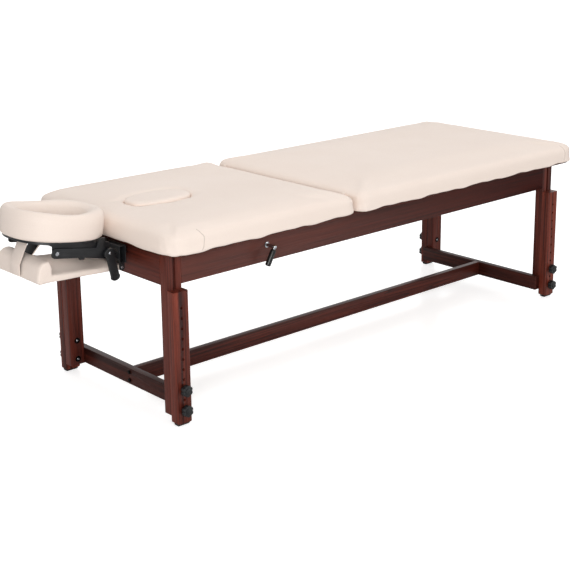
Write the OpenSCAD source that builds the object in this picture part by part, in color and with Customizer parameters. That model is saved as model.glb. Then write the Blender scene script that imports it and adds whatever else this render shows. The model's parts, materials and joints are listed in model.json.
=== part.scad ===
// Stationary massage table: wooden frame on telescoping legs, two padded sections with a lifting
// back, a breath hole with its plug, a tilting face rest and a hanging arm shelf.
// X runs from the head (-X) to the foot (+X), -Y is the near long side, Z is up from the floor.

/* [Frame] */
// Length over the posts
frame_l = 1830; // [1500:5:2100]
// Width over the posts
frame_w = 580; // [480:2:700]
// Height of the frame's top above the floor, legs at their shortest
frame_top = 536; // [480:2:620]
// Height of the aprons
apron_h = 107; // [80:1:130]
// Thickness of the aprons and cross rails
apron_t = 22; // [16:1:26]
// Width of a post and its leg extension along the table
post_w = 54; // [44:1:64]
// Depth of a post across the table
post_d = 33; // [28:1:44]
// Clear height under the posts
post_rise = 30; // [22:1:40]
// Height of the crossbars and the stretcher
bar_h = 53; // [40:1:64]
// Thickness of a crossbar
cross_t = 22; // [16:1:28]
// Thickness of the stretcher
stretcher_t = 20; // [16:1:28]
// Height of the cross rails under the boards
rail_h = 96; // [70:1:100]

/* [Legs] */
// Depth of a leg extension across the table
ext_d = 31; // [26:1:40]
// Height of the extension's top above the floor
ext_top = 417; // [400:1:440]
// Distance from one height hole to the next
hole_pitch = 31.75; // [28:0.25:33]
// Height holes in each extension
hole_count = 11; // [11:1:11]
// Depth of the first hole below the extension's top
hole_first = 49.5; // [36:0.5:52]
// Diameter of a height hole
hole_dia = 9; // [8.6:0.1:12]
// Height of a foot pad
pad_h = 8; // [5:0.5:12]
// Width of the guide groove in a post
groove_w = 9.6; // [8:0.2:14]
// Depth of the guide groove
groove_d = 6; // [3:0.5:8]

/* [Knobs] */
// Diameter over a knob's lobes
knob_dia = 36; // [28:1:42]
// Thickness of a knob's grip
knob_t = 15; // [10:1:20]
// Lobes on a knob
knob_lobes = 6; // [5:1:8]
// Diameter of a knob's bolt
bolt_dia = 8; // [6:0.5:8]

/* [Padded top] */
// Width of the cushions
pad_w = 762; // [680:2:820]
// Reach of the cushions past the head posts
head_over = 46; // [30:1:60]
// Reach of the cushions past the foot posts
foot_over = 46; // [30:1:60]
// Distance from the head posts to the gap between the cushions
back_l = 706; // [660:2:760]
// Gap between the two cushions
pad_gap = 6; // [5:0.5:8]
// Height of the cushions at their edge, from the frame's top
pad_h_edge = 73; // [62:1:84]
// Rise of the crown over the edge
pad_crown = 9; // [4:0.5:14]
// Radius of a cushion's corners
pad_corner = 42; // [24:1:60]
// Thickness of the boards
board_t = 14; // [10:1:18]
// Length of the breath hole
breath_l = 224; // [180:2:250]
// Width of the breath hole
breath_w = 140; // [110:2:150]
// Distance from the head posts to the middle of the breath hole
breath_x = 188; // [170:1:230]

/* [Back lift] */
// Height of the back's hinge line above the frame's top
lift_rise = 54; // [48:0.5:56]
// Distance of the spring's pivots from the hinge line
spring_r = 230; // [220:1:240]
// Angle between the spring's pivots seen from the hinge, back down
spring_angle = 55; // [52:0.5:58]
// Largest lift of the back
lift_angle = 50; // [40:1:50]
// Diameter of the spring's tube
tube_dia = 22; // [18:1:26]
// Diameter of the spring's rod
rod_dia = 10; // [8:0.5:12]

/* [Release handle] */
// Distance from the head posts to the release shaft
release_x = 383; // [340:1:430]
// Diameter of the release shaft
shaft_dia = 10; // [8:0.5:12]
// Reach of the shaft out of the apron
shaft_out = 38; // [30:1:48]
// Length of the grip
grip_l = 62; // [50:1:80]
// Diameter of the grip
grip_dia = 18; // [14:1:22]
// Lean of the grip from upright, towards the head
grip_lean = 29; // [10:1:40]

/* [Face rest] */
// Length of the face cushion
face_l = 242; // [220:1:260]
// Width of the face cushion
face_w = 280; // [262:1:300]
// Height of the face cushion
face_h = 82; // [68:1:90]
// Height of the platform's top above the frame's top
face_rise = 32; // [28:0.5:36]
// Length of the opening in the face cushion
face_hole_l = 130; // [110:1:140]
// Width of the opening in the face cushion
face_hole_w = 148; // [124:1:156]
// Gap between the face cushion and the table's cushion
face_gap = 4; // [3:0.5:10]
// Distance from the middle to an arm
arm_y = 121; // [116:1:124]
// Height of an arm's bar
arm_h = 28; // [22:1:30]
// Thickness of an arm's bar
arm_t = 6; // [4:0.5:7]
// Largest tilt of the face rest
tilt_angle = 12; // [6:1:12]
// Diameter of the face rest's rods
prong_dia = 16; // [12:1:18]
// Distance between the rods
prong_gap = 160; // [140:2:180]
// Length of the clamp lever
lever_l = 78; // [60:1:84]

/* [Arm shelf] */
// Width of the shelf across the table
shelf_w = 236; // [200:1:236]
// Thickness of the shelf's pad
shelf_t = 20; // [14:1:22]
// Width of the hanging strap
strap_w = 52; // [36:1:64]

/* [Hidden] */

$fn = 40;
// Overrun of every cut
over = 1;
// Clearance between soft solids and their neighbours
soft_clear = 0.3;
// Radial clearance of a turning or sliding fit
run_clear = 0.05;
// Clearance of a loose sliding face
slide_clear = 0.2;

// Places along the table: the whole object is centred on X = 0
shelf_front = 326;
head_x = (shelf_front - frame_l - foot_over) / 2;
foot_x = head_x + frame_l;
half_w = frame_w / 2;
gap_x = head_x + back_l;
bar_z = post_rise;
apron_z = frame_top - apron_h;
inner_x0 = head_x + post_w;
inner_x1 = foot_x - post_w;
inner_half = half_w - post_d;

// Legs
ext_edge_r = 5;
ext_chamfer = 4;
post_edge_r = 3;
pad_inset = 5;
pad_edge = 2;
tongue_t = groove_d - over;
upper_hole_number = 9;
lower_hole_number = 11;
function hole_z(i) = ext_top - hole_first - (i - 1) * hole_pitch;

// Nuts and bolts
nut_flange_r = 10;
nut_flange_t = 2;
nut_barrel_r = 6;
nut_depth = 12;
hub_r = 9;
hub_t = 5;
cap_r = 9;
cap_t = 2;
bolt_head_r = 6;
bolt_head_t = 4;
frame_bolt_r = 3.5;
frame_bolt_l = 60;
frame_bolt_inset = 13;

// Boards and cushions
board_inset = 12;
pad_bottom = frame_top + soft_clear;
pad_edge_z = frame_top + pad_h_edge;
tuck_in = 6;
tuck_h = 12;
round_w = 34;
round_h = 20;
crown_in = 120;
crown_share = 0.75;
pad_draw = 3;
plug_clear = 0.9;
plug_lip = 10;
plug_proud = 3;
plug_round = 7;
breath_cx = head_x + breath_x;
breath_power_share = 0.8;

// Hinge plates of the lifting back
lift_z = frame_top + lift_rise;
plate_t = 5;
plate_y = 300;
plate_flange_l = 60;
plate_flange_t = 5;
plate_arm_w = 14;
plate_start = 16;
barrel_r = 5;
hinge_pin_r = 2.5;
slot_over = 1.2;

// Gas spring under the back: both pivots lie spring_r from the hinge line
clevis_drop = 20;
board_pivot_angle = asin((lift_rise + clevis_drop) / spring_r);
frame_pivot_angle = board_pivot_angle + spring_angle;
board_pivot = [gap_x - spring_r * cos(board_pivot_angle), lift_z - spring_r * sin(board_pivot_angle)];
frame_pivot = [gap_x - spring_r * cos(frame_pivot_angle), lift_z - spring_r * sin(frame_pivot_angle)];
spring_short = 2 * spring_r * sin(spring_angle / 2);
spring_long = 2 * spring_r * sin((spring_angle + lift_angle) / 2);
spring_mid = 2 * spring_r * sin((spring_angle + lift_angle / 2) / 2);
slot_play = spring_mid - (spring_short + spring_long) / 2 + slide_clear * 2;
spring_dir = atan2(board_pivot[1] - frame_pivot[1], board_pivot[0] - frame_pivot[0]);
pivot_pin_r = 4;
eye_r = 9;
eye_t = 8;
cheek_t = 4;
tube_foot = 20;
cheek_r = 8;
cheek_step = 20;
tube_wall_end = 4;
head_len = 12;
rail_back_x = gap_x - 50;
rail_seat_x = gap_x + board_inset;
rail_foot_x = (gap_x + foot_x) / 2;
bracket_w = 60;
bracket_t = 4;
bracket_foot = 12;

// Release shaft and handle
release_z = frame_top - apron_h / 2;
washer_r = 9;
washer_t = 3;
ball_r = 7;
stem_r = 5;
stem_out = 1;
block_l = 44;
block_t = 26;
block_h = 40;
finger_r = 9;
finger_l = 26;
finger_t = 5;
release_cx = head_x + release_x;
shaft_in = apron_t + block_t + finger_t + over;
grip_end_r = 3;

// Face rest: the platform tilts on rivets near its outer end, and carries the clamp lever, whose
// bolt moves along the curved edges of the arms near the table, under its washer
face_rear = head_x - head_over - face_gap;
face_front = face_rear - face_l;
face_cx = (face_rear + face_front) / 2;
platform_top = frame_top + face_rise;
platform_t = 7;
platform_inset = 12;
face_z = platform_top + soft_clear;
face_power_share = 0.84;
hole_power_shares = [1.3, 1.1];
rivet_in = 34;
rivet_drop = 21;
rivet_x = face_front + rivet_in;
rivet_z = platform_top - rivet_drop;
rivet_r = 4;
rivet_head_r = 6;
rivet_head_t = 2.5;
clamp_back = 38;
clamp_drop = 50;
clamp_x = face_rear - clamp_back;
clamp_z = platform_top - clamp_drop;
clamp_r = norm([clamp_x - rivet_x, clamp_z - rivet_z]);
clamp_angle = atan2(clamp_z - rivet_z, clamp_x - rivet_x);
clamp_bolt_r = 4;
grip_gap = 3;
arm_foot = 21;
ear_t = 4;
quadrant_w = 20;
web_w = 20;
flange_in = 30;
beam_d = 24;
beam_h = 54;
beam_x1 = head_x - 26;
beam_x0 = beam_x1 - beam_d;
beam_step = 2;
beam_top = clamp_z + arm_h / 2 - beam_step;
beam_z0 = beam_top - beam_h;
beam_half = arm_y + arm_t / 2 + 4;
beam_wall = 3;
prong_z = beam_z0 + beam_h / 2;
prong_l = 160;
socket_wall = 3;
socket_l = 40;
collar_wall = 6;
lever_boss_r = 13;
lever_boss_t = 10;
lever_w = 20;
lever_t = 7;
lever_lean = 12;
lever_tip_r = 11;
cam_washer_r = 11;
cam_washer_t = 3;
lug_l = 18;
lug_h = 6;
lug_r = 3;
corner_r = 8;
shelf_bar_r = 4;
sleeve_r = 9;
hanger_w = 18;
shelf_bar_x = (beam_x0 + beam_x1) / 2;
shelf_bar_z = beam_z0 - sleeve_r - beam_step * 3;
hanger_y = shelf_w / 2 + slide_clear + soft_clear;

// Arm shelf: swings on a bar under the beam and hangs on a strap from the platform's outer edge
shelf_x0 = head_x - shelf_front;
shelf_x1 = shelf_bar_x;
shelf_drop_front = 72;
shelf_drop_rear = 84;
shelf_l = shelf_x1 - shelf_x0;
shelf_front_z = frame_top - shelf_drop_front;
shelf_rear_z = frame_top - shelf_drop_rear;
roll_h = 42;
roll_w = 44;
strap_t = 3;
strap_top_x = face_front + 1;
strap_top_z = platform_top - platform_t - soft_clear;
strap_back_x = face_front + 46;
shelf_edge_r = 8;

wood = [0.30, 0.12, 0.09];
hide = [0.95, 0.90, 0.85];
black = [0.12, 0.12, 0.13];
steel = [0.75, 0.76, 0.78];

// A solid standing in the upright X-Z plane: 2D x is X, 2D y is Z, from y0 over thickness t
module upright(y0, t) {
    translate([0, y0 + t, 0])
        rotate([90, 0, 0])
            linear_extrude(height = t)
                children();
}

// A round bar along Y from y0 over length l
module along_y(x, z, y0, l, r) {
    translate([x, y0 + l, z])
        rotate([90, 0, 0])
            cylinder(h = l, r = r);
}

// A round bar along X from x0 over length l
module along_x(x0, y, z, l, r) {
    translate([x0, y, z])
        rotate([0, 90, 0])
            cylinder(h = l, r = r);
}

// A bar with round ends between two points of a plane
module link(a, b, w) {
    d = b - a;
    translate(a)
        circle(d = w);
    translate(b)
        circle(d = w);
    translate(a)
        rotate(atan2(d[1], d[0]))
            translate([0, -w / 2])
                square([norm(d), w]);
}

// Outline through the points of p, each corner rounded to the radius of the same place in r
corner_points = 5;
function rounded(p, r) = [for (i = [0:len(p) - 1]) each let (a = p[(i + len(p) - 1) % len(p)], b = p[i],
    c = p[(i + 1) % len(p)], u = (a - b) / norm(a - b), v = (c - b) / norm(c - b), w = acos(u * v),
    m = b + (u + v) / norm(u + v) * r[i] / sin(w / 2), s = b + u * r[i] / tan(w / 2) - m,
    e = b + v * r[i] / tan(w / 2) - m, a0 = atan2(s[1], s[0]), turn = (atan2(e[1], e[0]) - a0 + 540) % 360 - 180)
    r[i] == 0 ? [b] : [for (k = [0:corner_points]) let (t = a0 + turn * k / corner_points)
        m + r[i] * [cos(t), sin(t)]]];

// Strip of thickness t along the points of p, which lies on its left
function strip_side(p, d) = [for (i = [0:len(p) - 1]) let (a = p[max(i - 1, 0)], b = p[i],
    c = p[min(i + 1, len(p) - 1)], u = i > 0 ? (b - a) / norm(b - a) : (c - b) / norm(c - b),
    v = i < len(p) - 1 ? (c - b) / norm(c - b) : u, n = [-u[1] - v[1], u[0] + v[0]] / norm(u + v))
    b + n * d / (n * [-u[1], u[0]])];
module strip(p, t) {
    back = strip_side(p, t);
    polygon(concat(p, [for (i = [len(p) - 1:-1:0]) back[i]]));
}

// A rectangle with round corners from the origin
module round_rect(l, w, r) {
    translate([r, 0])
        square([l - 2 * r, w]);
    translate([0, r])
        square([l, w - 2 * r]);
    for (x = [r, l - r], y = [r, w - r])
        translate([x, y])
            circle(r = r);
}

// Places a child made for the near head corner at any corner: x and y start at the post's outer
// faces and run inwards
module at_corner(foot, far) {
    translate([foot ? foot_x : head_x, far ? half_w : -half_w, 0])
        mirror([foot ? 1 : 0, 0, 0])
            mirror([0, far ? 1 : 0, 0])
                children();
}

// Frame
module long_apron(far) {
    y0 = far ? half_w - apron_t : -half_w;
    color(wood)
        difference() {
            translate([inner_x0, y0, apron_z])
                cube([inner_x1 - inner_x0, apron_t, apron_h]);
            if (!far)
                along_y(release_cx, release_z, y0 - over, apron_t + 2 * over, shaft_dia / 2 + run_clear);
        }
}

module end_apron(foot) {
    x0 = foot ? foot_x - apron_t : head_x;
    color(wood)
        difference() {
            translate([x0, -inner_half, apron_z])
                cube([apron_t, 2 * inner_half, apron_h]);
            if (!foot)
                for (s = [-1, 1])
                    along_x(x0 - over, s * prong_gap / 2, prong_z, apron_t + 2 * over,
                        prong_dia / 2 + socket_wall + run_clear);
        }
}

module post(foot, far) {
    color(wood)
        at_corner(foot, far)
            difference() {
                translate([0, 0, post_rise])
                    linear_extrude(height = frame_top - post_rise)
                        difference() {
                            round_rect(post_w, post_d, post_edge_r);
                            translate([(post_w - groove_w) / 2, -over])
                                square([groove_w, groove_d + over]);
                        }
                for (i = [upper_hole_number, lower_hole_number]) {
                    along_y(post_w / 2, hole_z(i), -over, post_d + 2 * over, hole_dia / 2);
                    along_y(post_w / 2, hole_z(i), post_d - nut_depth, nut_depth + over, nut_barrel_r + run_clear);
                }
            }
}

module crossbar(foot) {
    x0 = foot ? inner_x1 - cross_t : inner_x0;
    color(wood)
        difference() {
            translate([x0, -half_w, bar_z])
                cube([cross_t, frame_w, bar_h]);
            for (z = frame_bolt_heights)
                along_x(x0 - over, 0, z, cross_t + 2 * over, frame_bolt_r + slide_clear);
        }
}

frame_bolt_heights = [bar_z + frame_bolt_inset, bar_z + bar_h - frame_bolt_inset];

module stretcher() {
    x0 = inner_x0 + cross_t;
    x1 = inner_x1 - cross_t;
    color(wood)
        difference() {
            translate([x0, -stretcher_t / 2, bar_z])
                cube([x1 - x0, stretcher_t, bar_h]);
            for (z = frame_bolt_heights) {
                along_x(x0 - over, 0, z, frame_bolt_l - cross_t + 2 * over, frame_bolt_r + slide_clear);
                along_x(x1 - frame_bolt_l + cross_t - over, 0, z, frame_bolt_l - cross_t + 2 * over,
                    frame_bolt_r + slide_clear);
            }
        }
}

module stretcher_bolts() {
    color(steel)
        for (foot = [0, 1], z = frame_bolt_heights)
            translate([foot ? inner_x1 : inner_x0, 0, z])
                mirror([foot, 0, 0]) {
                    along_x(-bolt_head_t, 0, 0, bolt_head_t, bolt_head_r);
                    along_x(-over, 0, 0, frame_bolt_l + over, frame_bolt_r);
                }
}

// Threaded sleeves that take the knobs' bolts, flange on the post's inner face
module post_nuts() {
    color(steel)
        for (foot = [false, true], far = [false, true], i = [upper_hole_number, lower_hole_number])
            at_corner(foot, far)
                difference() {
                    union() {
                        along_y(post_w / 2, hole_z(i), post_d, nut_flange_t, nut_flange_r);
                        along_y(post_w / 2, hole_z(i), post_d - nut_depth, nut_depth + over, nut_barrel_r);
                    }
                    along_y(post_w / 2, hole_z(i), post_d - nut_depth - over, nut_depth + nut_flange_t + 2 * over,
                        bolt_dia / 2 + run_clear);
                }
}

module cross_rail(x0) {
    color(wood)
        translate([x0, -half_w + apron_t, frame_top - rail_h])
            cube([apron_t, frame_w - 2 * apron_t, rail_h]);
}

// Legs
module leg_profile() {
    square_w = post_w;
    translate([0, -ext_edge_r])
        square([square_w, ext_edge_r]);
    translate([0, -ext_d])
        round_rect(square_w, ext_d, ext_edge_r);
}

module leg(foot, far) {
    color(wood)
        at_corner(foot, far)
            difference() {
                union() {
                    translate([0, -slide_clear, 0])
                        intersection() {
                            translate([0, 0, pad_h])
                                linear_extrude(height = ext_top - pad_h)
                                    leg_profile();
                            upright(-ext_d - over, ext_d + 2 * over)
                                polygon([[ext_chamfer, pad_h], [post_w - ext_chamfer, pad_h],
                                    [post_w, pad_h + ext_chamfer], [post_w, ext_top], [0, ext_top],
                                    [0, pad_h + ext_chamfer]]);
                        }
                    translate([(post_w - groove_w) / 2 + slide_clear, -slide_clear - over, pad_h + ext_chamfer])
                        cube([groove_w - 2 * slide_clear, tongue_t + over, ext_top - pad_h - 2 * ext_chamfer]);
                }
                for (i = [1:hole_count])
                    along_y(post_w / 2, hole_z(i), -ext_d - over, ext_d + post_d, hole_dia / 2);
            }
}

module foot_pad(foot, far) {
    color(black)
        at_corner(foot, far)
            translate([pad_inset, -ext_d + pad_inset - slide_clear, 0]) {
                linear_extrude(height = pad_edge)
                    translate([pad_edge, pad_edge])
                        round_rect(post_w - 2 * pad_inset - 2 * pad_edge, ext_d - 2 * pad_inset - 2 * pad_edge, pad_edge);
                translate([0, 0, pad_edge])
                    linear_extrude(height = pad_h - pad_edge)
                        round_rect(post_w - 2 * pad_inset, ext_d - 2 * pad_inset, pad_edge);
            }
}

// Star knob with its bolt
module knob(foot, far, i) {
    face = -ext_d - slide_clear;
    lobe_r = knob_dia / 2 * lobe_share;
    color(black)
        at_corner(foot, far) {
            along_y(post_w / 2, hole_z(i), face - hub_t, hub_t, hub_r);
            upright(face - hub_t - knob_t, knob_t)
                translate([post_w / 2, hole_z(i)]) {
                    circle(r = knob_dia / 2 - lobe_r);
                    for (k = [0:knob_lobes - 1])
                        rotate(k * 360 / knob_lobes)
                            translate([knob_dia / 2 - lobe_r, 0])
                                circle(r = lobe_r);
                }
            along_y(post_w / 2, hole_z(i), face - hub_t - knob_t - cap_t, cap_t + over, cap_r);
            along_y(post_w / 2, hole_z(i), face - hub_t, post_d + nut_flange_t + hub_t - face, bolt_dia / 2);
        }
}
lobe_share = 0.3;

// Ring of a pad: a rectangle of half sizes a and b with round corners, its sides drawn in between
// the corners
corner_steps = 5;
side_steps = 6;
function pad_ring(a, b, r, draw, z) = [for (q = [0:3]) each concat(
    [for (i = [0:corner_steps]) let (t = 90 * (q + i / corner_steps))
        [(q == 0 || q == 3 ? 1 : -1) * (a - r) + r * cos(t), (q < 2 ? 1 : -1) * (b - r) + r * sin(t), z]],
    [for (i = [1:side_steps - 1]) let (s = i / side_steps, n = 90 * (q + 1), h = q % 2 == 0 ? a - r : b - r,
        e = q % 2 == 0 ? b : a, w = (1 - 2 * s) * h * (q < 2 ? 1 : -1), d = e - draw * sin(180 * s))
        q % 2 == 0 ? [w, d * sin(n), z] : [d * cos(n), w, z]])];

// A closed skin over rings of equal length, with a middle point at each end
function skin_faces(n, m) = concat(
    [for (k = [0:m - 2], i = [0:n - 1]) [k * n + i, (k + 1) * n + i, (k + 1) * n + (i + 1) % n]],
    [for (k = [0:m - 2], i = [0:n - 1]) [k * n + i, (k + 1) * n + (i + 1) % n, k * n + (i + 1) % n]],
    [for (i = [0:n - 1]) [n * m, i, (i + 1) % n]],
    [for (i = [0:n - 1]) [n * m + 1, (m - 1) * n + (i + 1) % n, (m - 1) * n + i]]);

module skin(rings, low, high) {
    n = len(rings[0]);
    m = len(rings);
    polyhedron(points = concat([for (r = rings) each r], [low, high]), faces = skin_faces(n, m));
}

// Crowned pad of half sizes a and b on the frame's top
round_steps = 4;
function pad_inset_at(k) = round_w * (1 - cos(90 * k / round_steps));
function pad_z_at(k) = pad_edge_z - round_h + round_h * sin(90 * k / round_steps);
module pad_solid(a, b) {
    rings = concat(
        [pad_ring(a - tuck_in, b - tuck_in, pad_corner - tuck_in, pad_draw, pad_bottom),
            pad_ring(a, b, pad_corner, pad_draw, pad_bottom + tuck_h)],
        [for (k = [0:round_steps]) let (d = pad_inset_at(k))
            pad_ring(a - d, b - d, pad_corner, pad_draw, pad_z_at(k))],
        [pad_ring(a - crown_in, b - crown_in, pad_corner, 0, pad_edge_z + pad_crown * crown_share)]);
    skin(rings, [0, 0, pad_bottom], [0, 0, pad_edge_z + pad_crown]);
}

// Oval of the breath hole, grown by g
oval_steps = 48;
function oval(a, b, share) = [for (i = [0:oval_steps - 1]) let (t = 360 * i / oval_steps)
    [a * sign(cos(t)) * pow(abs(cos(t)), share), b * sign(sin(t)) * pow(abs(sin(t)), share)]];
module breath_outline(g) {
    translate([breath_cx, 0])
        polygon(oval(breath_l / 2 + g, breath_w / 2 + g, breath_power_share));
}

back_x0 = head_x - head_over;
back_x1 = gap_x - pad_gap / 2;
seat_x0 = gap_x + pad_gap / 2;
seat_x1 = foot_x + foot_over;

module board(x0, x1) {
    translate([x0 + board_inset, -pad_w / 2 + board_inset, frame_top])
        cube([x1 - x0 - 2 * board_inset, pad_w - 2 * board_inset, board_t]);
}

module board_room(x0, x1) {
    translate([x0 + board_inset - soft_clear, -pad_w / 2 + board_inset - soft_clear, frame_top - over])
        cube([x1 - x0 - 2 * board_inset + 2 * soft_clear, pad_w - 2 * board_inset + 2 * soft_clear,
            board_t + over + soft_clear]);
}

// Slots in the cushions' ends for the hinge plates
module plate_room(x0, x1) {
    for (s = [-1, 1])
        translate([x0, s * plate_y - plate_t - slot_over, frame_top + board_t])
            cube([x1 - x0, 2 * plate_t + 2 * slot_over, lift_z + barrel_r + slot_over - frame_top - board_t]);
}

module cushion(x0, x1) {
    translate([(x0 + x1) / 2, 0, 0])
        pad_solid((x1 - x0) / 2, pad_w / 2);
}

module foot_board() {
    color("burlywood")
        board(seat_x0, seat_x1);
}

module foot_cushion() {
    color(hide)
        difference() {
            cushion(seat_x0, seat_x1);
            board_room(seat_x0, seat_x1);
            plate_room(gap_x - over, gap_x + plate_start + plate_flange_l + slot_over);
        }
}

module back_board() {
    color("burlywood")
        difference() {
            board(back_x0, back_x1);
            translate([0, 0, frame_top - over])
                linear_extrude(height = board_t + 2 * over)
                    breath_outline(-plug_lip);
        }
}

module back_cushion() {
    color(hide)
        difference() {
            cushion(back_x0, back_x1);
            board_room(back_x0, back_x1);
            plate_room(gap_x - plate_start - plate_flange_l - slot_over, gap_x + over);
            translate([0, 0, frame_top])
                linear_extrude(height = pad_h_edge + pad_crown + over)
                    breath_outline(0);
        }
}

// Padded plug that fills the breath hole
module breath_plug() {
    a = breath_l / 2 - plug_clear;
    b = breath_w / 2 - plug_clear;
    z1 = pad_edge_z + pad_crown + plug_proud - plug_round;
    function ring(d, z) = [for (p = oval(a - d, b - d, breath_power_share)) [breath_cx + p[0], p[1], z]];
    color(hide)
        skin(concat([ring(0, frame_top + board_t)],
            [for (k = [0:2]) ring(plug_round * (1 - cos(45 * k)), z1 + plug_round * sin(45 * k))]),
            [breath_cx, 0, frame_top + board_t], [breath_cx, 0, z1 + plug_round + over]);
}

// Hinge plate of the lifting back: a flange on the board and an arm up to the hinge line
module hinge_plate(dir, y0) {
    difference() {
        upright(y0, plate_t) {
            link([gap_x, lift_z], [gap_x + dir * (plate_start + plate_arm_w / 2), frame_top + board_t + barrel_r],
                2 * barrel_r);
            translate([dir > 0 ? gap_x + plate_start : gap_x - plate_start - plate_flange_l, frame_top + board_t])
                square([plate_flange_l, plate_flange_t]);
            translate([dir > 0 ? gap_x + plate_start : gap_x - plate_start - plate_arm_w, frame_top + board_t])
                square([plate_arm_w, 2 * barrel_r]);
        }
        along_y(gap_x, lift_z, y0 - over, plate_t + 2 * over, hinge_pin_r + run_clear);
    }
}

module fixed_hinge_plates() {
    color(steel)
        for (s = [-1, 1])
            hinge_plate(1, s * plate_y + slide_clear / 2);
}

module moving_hinge_plates() {
    color(steel)
        for (s = [-1, 1])
            hinge_plate(-1, s * plate_y - plate_t - slide_clear / 2);
}

module hinge_pins() {
    color(steel)
        for (s = [-1, 1])
            along_y(gap_x, lift_z, s * plate_y - plate_t - slide_clear, 2 * plate_t + 2 * slide_clear, hinge_pin_r);
}

// Gas spring
module spring_bracket() {
    plate_z = frame_top - rail_h - bracket_t;
    bend = frame_pivot + [cheek_step, cheek_step / 2];
    color(steel) {
        translate([rail_back_x, -bracket_w / 2, plate_z])
            cube([apron_t, bracket_w, bracket_t]);
        for (s = [-1, 1])
            upright(s * (eye_t / 2 + slide_clear + cheek_t / 2) - cheek_t / 2, cheek_t) {
                link(frame_pivot, bend, 2 * cheek_r);
                polygon([bend - [cheek_r, 0], bend + [cheek_r, 0], [rail_back_x + apron_t, plate_z + over],
                    [rail_back_x, plate_z + over]]);
            }
        along_y(frame_pivot[0], frame_pivot[1], -eye_t / 2 - cheek_t - slide_clear - over,
            eye_t + 2 * cheek_t + 2 * slide_clear + 2 * over, pivot_pin_r);
    }
}

module spring_clevis() {
    color(steel) {
        translate([board_pivot[0] - bracket_foot, -bracket_w / 2, frame_top - bracket_t])
            cube([2 * bracket_foot, bracket_w, bracket_t]);
        for (s = [-1, 1])
            upright(s * (eye_t / 2 + slide_clear + cheek_t / 2) - cheek_t / 2, cheek_t) {
                translate(board_pivot)
                    circle(r = eye_r);
                translate([board_pivot[0] - eye_r, board_pivot[1]])
                    square([2 * eye_r, frame_top - board_pivot[1]]);
            }
        along_y(board_pivot[0], board_pivot[1], -eye_t / 2 - cheek_t - slide_clear - over,
            eye_t + 2 * cheek_t + 2 * slide_clear + 2 * over, pivot_pin_r);
    }
}

// Places a child made along +X from the frame pivot in the spring's line
module in_spring_line() {
    translate([frame_pivot[0], 0, frame_pivot[1]])
        rotate([0, -spring_dir, 0])
            children();
}

tube_end = spring_short - eye_r - head_len;
module spring_tube() {
    color(black)
        in_spring_line()
            difference() {
                union() {
                    along_x(tube_foot, 0, 0, tube_end - tube_foot, tube_dia / 2);
                    upright(-eye_t / 2, eye_t)
                        link([0, 0], [tube_foot + over, 0], 2 * eye_r);
                }
                along_x(tube_foot + tube_wall_end, 0, 0, tube_end, rod_dia / 2 + run_clear);
                along_y(0, 0, -eye_t, 2 * eye_t, pivot_pin_r + run_clear);
            }
}

// The rod's eye is a slot: its play takes up what a steady rate of travel leaves over
module spring_rod() {
    color(steel)
        in_spring_line()
            difference() {
                union() {
                    along_x(tube_foot + tube_wall_end + slide_clear, 0, 0,
                        spring_short - eye_r - over - tube_foot - tube_wall_end - slide_clear, rod_dia / 2);
                    upright(-eye_t / 2, eye_t) {
                        link([spring_short, 0], [spring_short + slot_play, 0], 2 * eye_r);
                        translate([spring_short - eye_r - head_len / 2, -rod_dia / 2])
                            square([head_len, rod_dia]);
                    }
                }
                upright(-eye_t, 2 * eye_t)
                    link([spring_short, 0], [spring_short + slot_play, 0], 2 * (pivot_pin_r + slide_clear));
            }
}

// Release shaft: turns in the apron and a block behind it
module shaft_block() {
    y0 = -half_w + apron_t;
    color(black)
        difference() {
            translate([release_cx - block_l / 2, y0, release_z - block_h / 2])
                cube([block_l, block_t, block_h]);
            along_y(release_cx, release_z, y0 - over, block_t + 2 * over, shaft_dia / 2 + run_clear);
        }
}

module release_shaft() {
    y1 = -half_w + apron_t + block_t;
    color(steel) {
        along_y(release_cx, release_z, -half_w - shaft_out, shaft_out + apron_t + block_t + finger_t + slide_clear,
            shaft_dia / 2);
        along_y(release_cx, release_z, -half_w - washer_t - slide_clear, washer_t, washer_r);
        translate([release_cx, -half_w - shaft_out, release_z])
            sphere(r = ball_r);
        translate([release_cx, -half_w - shaft_out, release_z])
            rotate([0, grip_lean + 180, 0])
                cylinder(h = ball_r + stem_out, r = stem_r);
        upright(y1 + slide_clear, finger_t)
            link([release_cx, release_z], [release_cx + finger_l, release_z], 2 * finger_r);
    }
}

module release_grip() {
    grip_top = ball_r + stem_out;
    color(black)
        translate([release_cx, -half_w - shaft_out, release_z])
            rotate([0, grip_lean, 0])
                rotate([180, 0, 0])
                    rotate_extrude()
                        polygon([[0, grip_top], [grip_dia / 2 - grip_end_r, grip_top], [grip_dia / 2, grip_top + grip_end_r],
                            [grip_dia / 2, grip_l - grip_end_r], [grip_dia / 2 - grip_end_r, grip_l], [0, grip_l]]);
}

// Face rest
module rod_sockets() {
    color(black)
        for (s = [-1, 1])
            difference() {
                along_x(head_x, s * prong_gap / 2, prong_z, socket_l, prong_dia / 2 + socket_wall);
                along_x(head_x - over, s * prong_gap / 2, prong_z, socket_l + 2 * over, prong_dia / 2 + run_clear);
            }
}

module face_rods() {
    color(steel)
        for (s = [-1, 1])
            along_x(beam_x1, s * prong_gap / 2, prong_z, prong_l, prong_dia / 2);
}

module rod_collars() {
    color(black)
        for (s = [-1, 1])
            difference() {
                along_x(beam_x1, s * prong_gap / 2, prong_z, head_x - beam_x1, prong_dia / 2 + collar_wall);
                along_x(beam_x1 - over, s * prong_gap / 2, prong_z, head_x - beam_x1 + 2 * over,
                    prong_dia / 2 + run_clear);
            }
}

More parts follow.
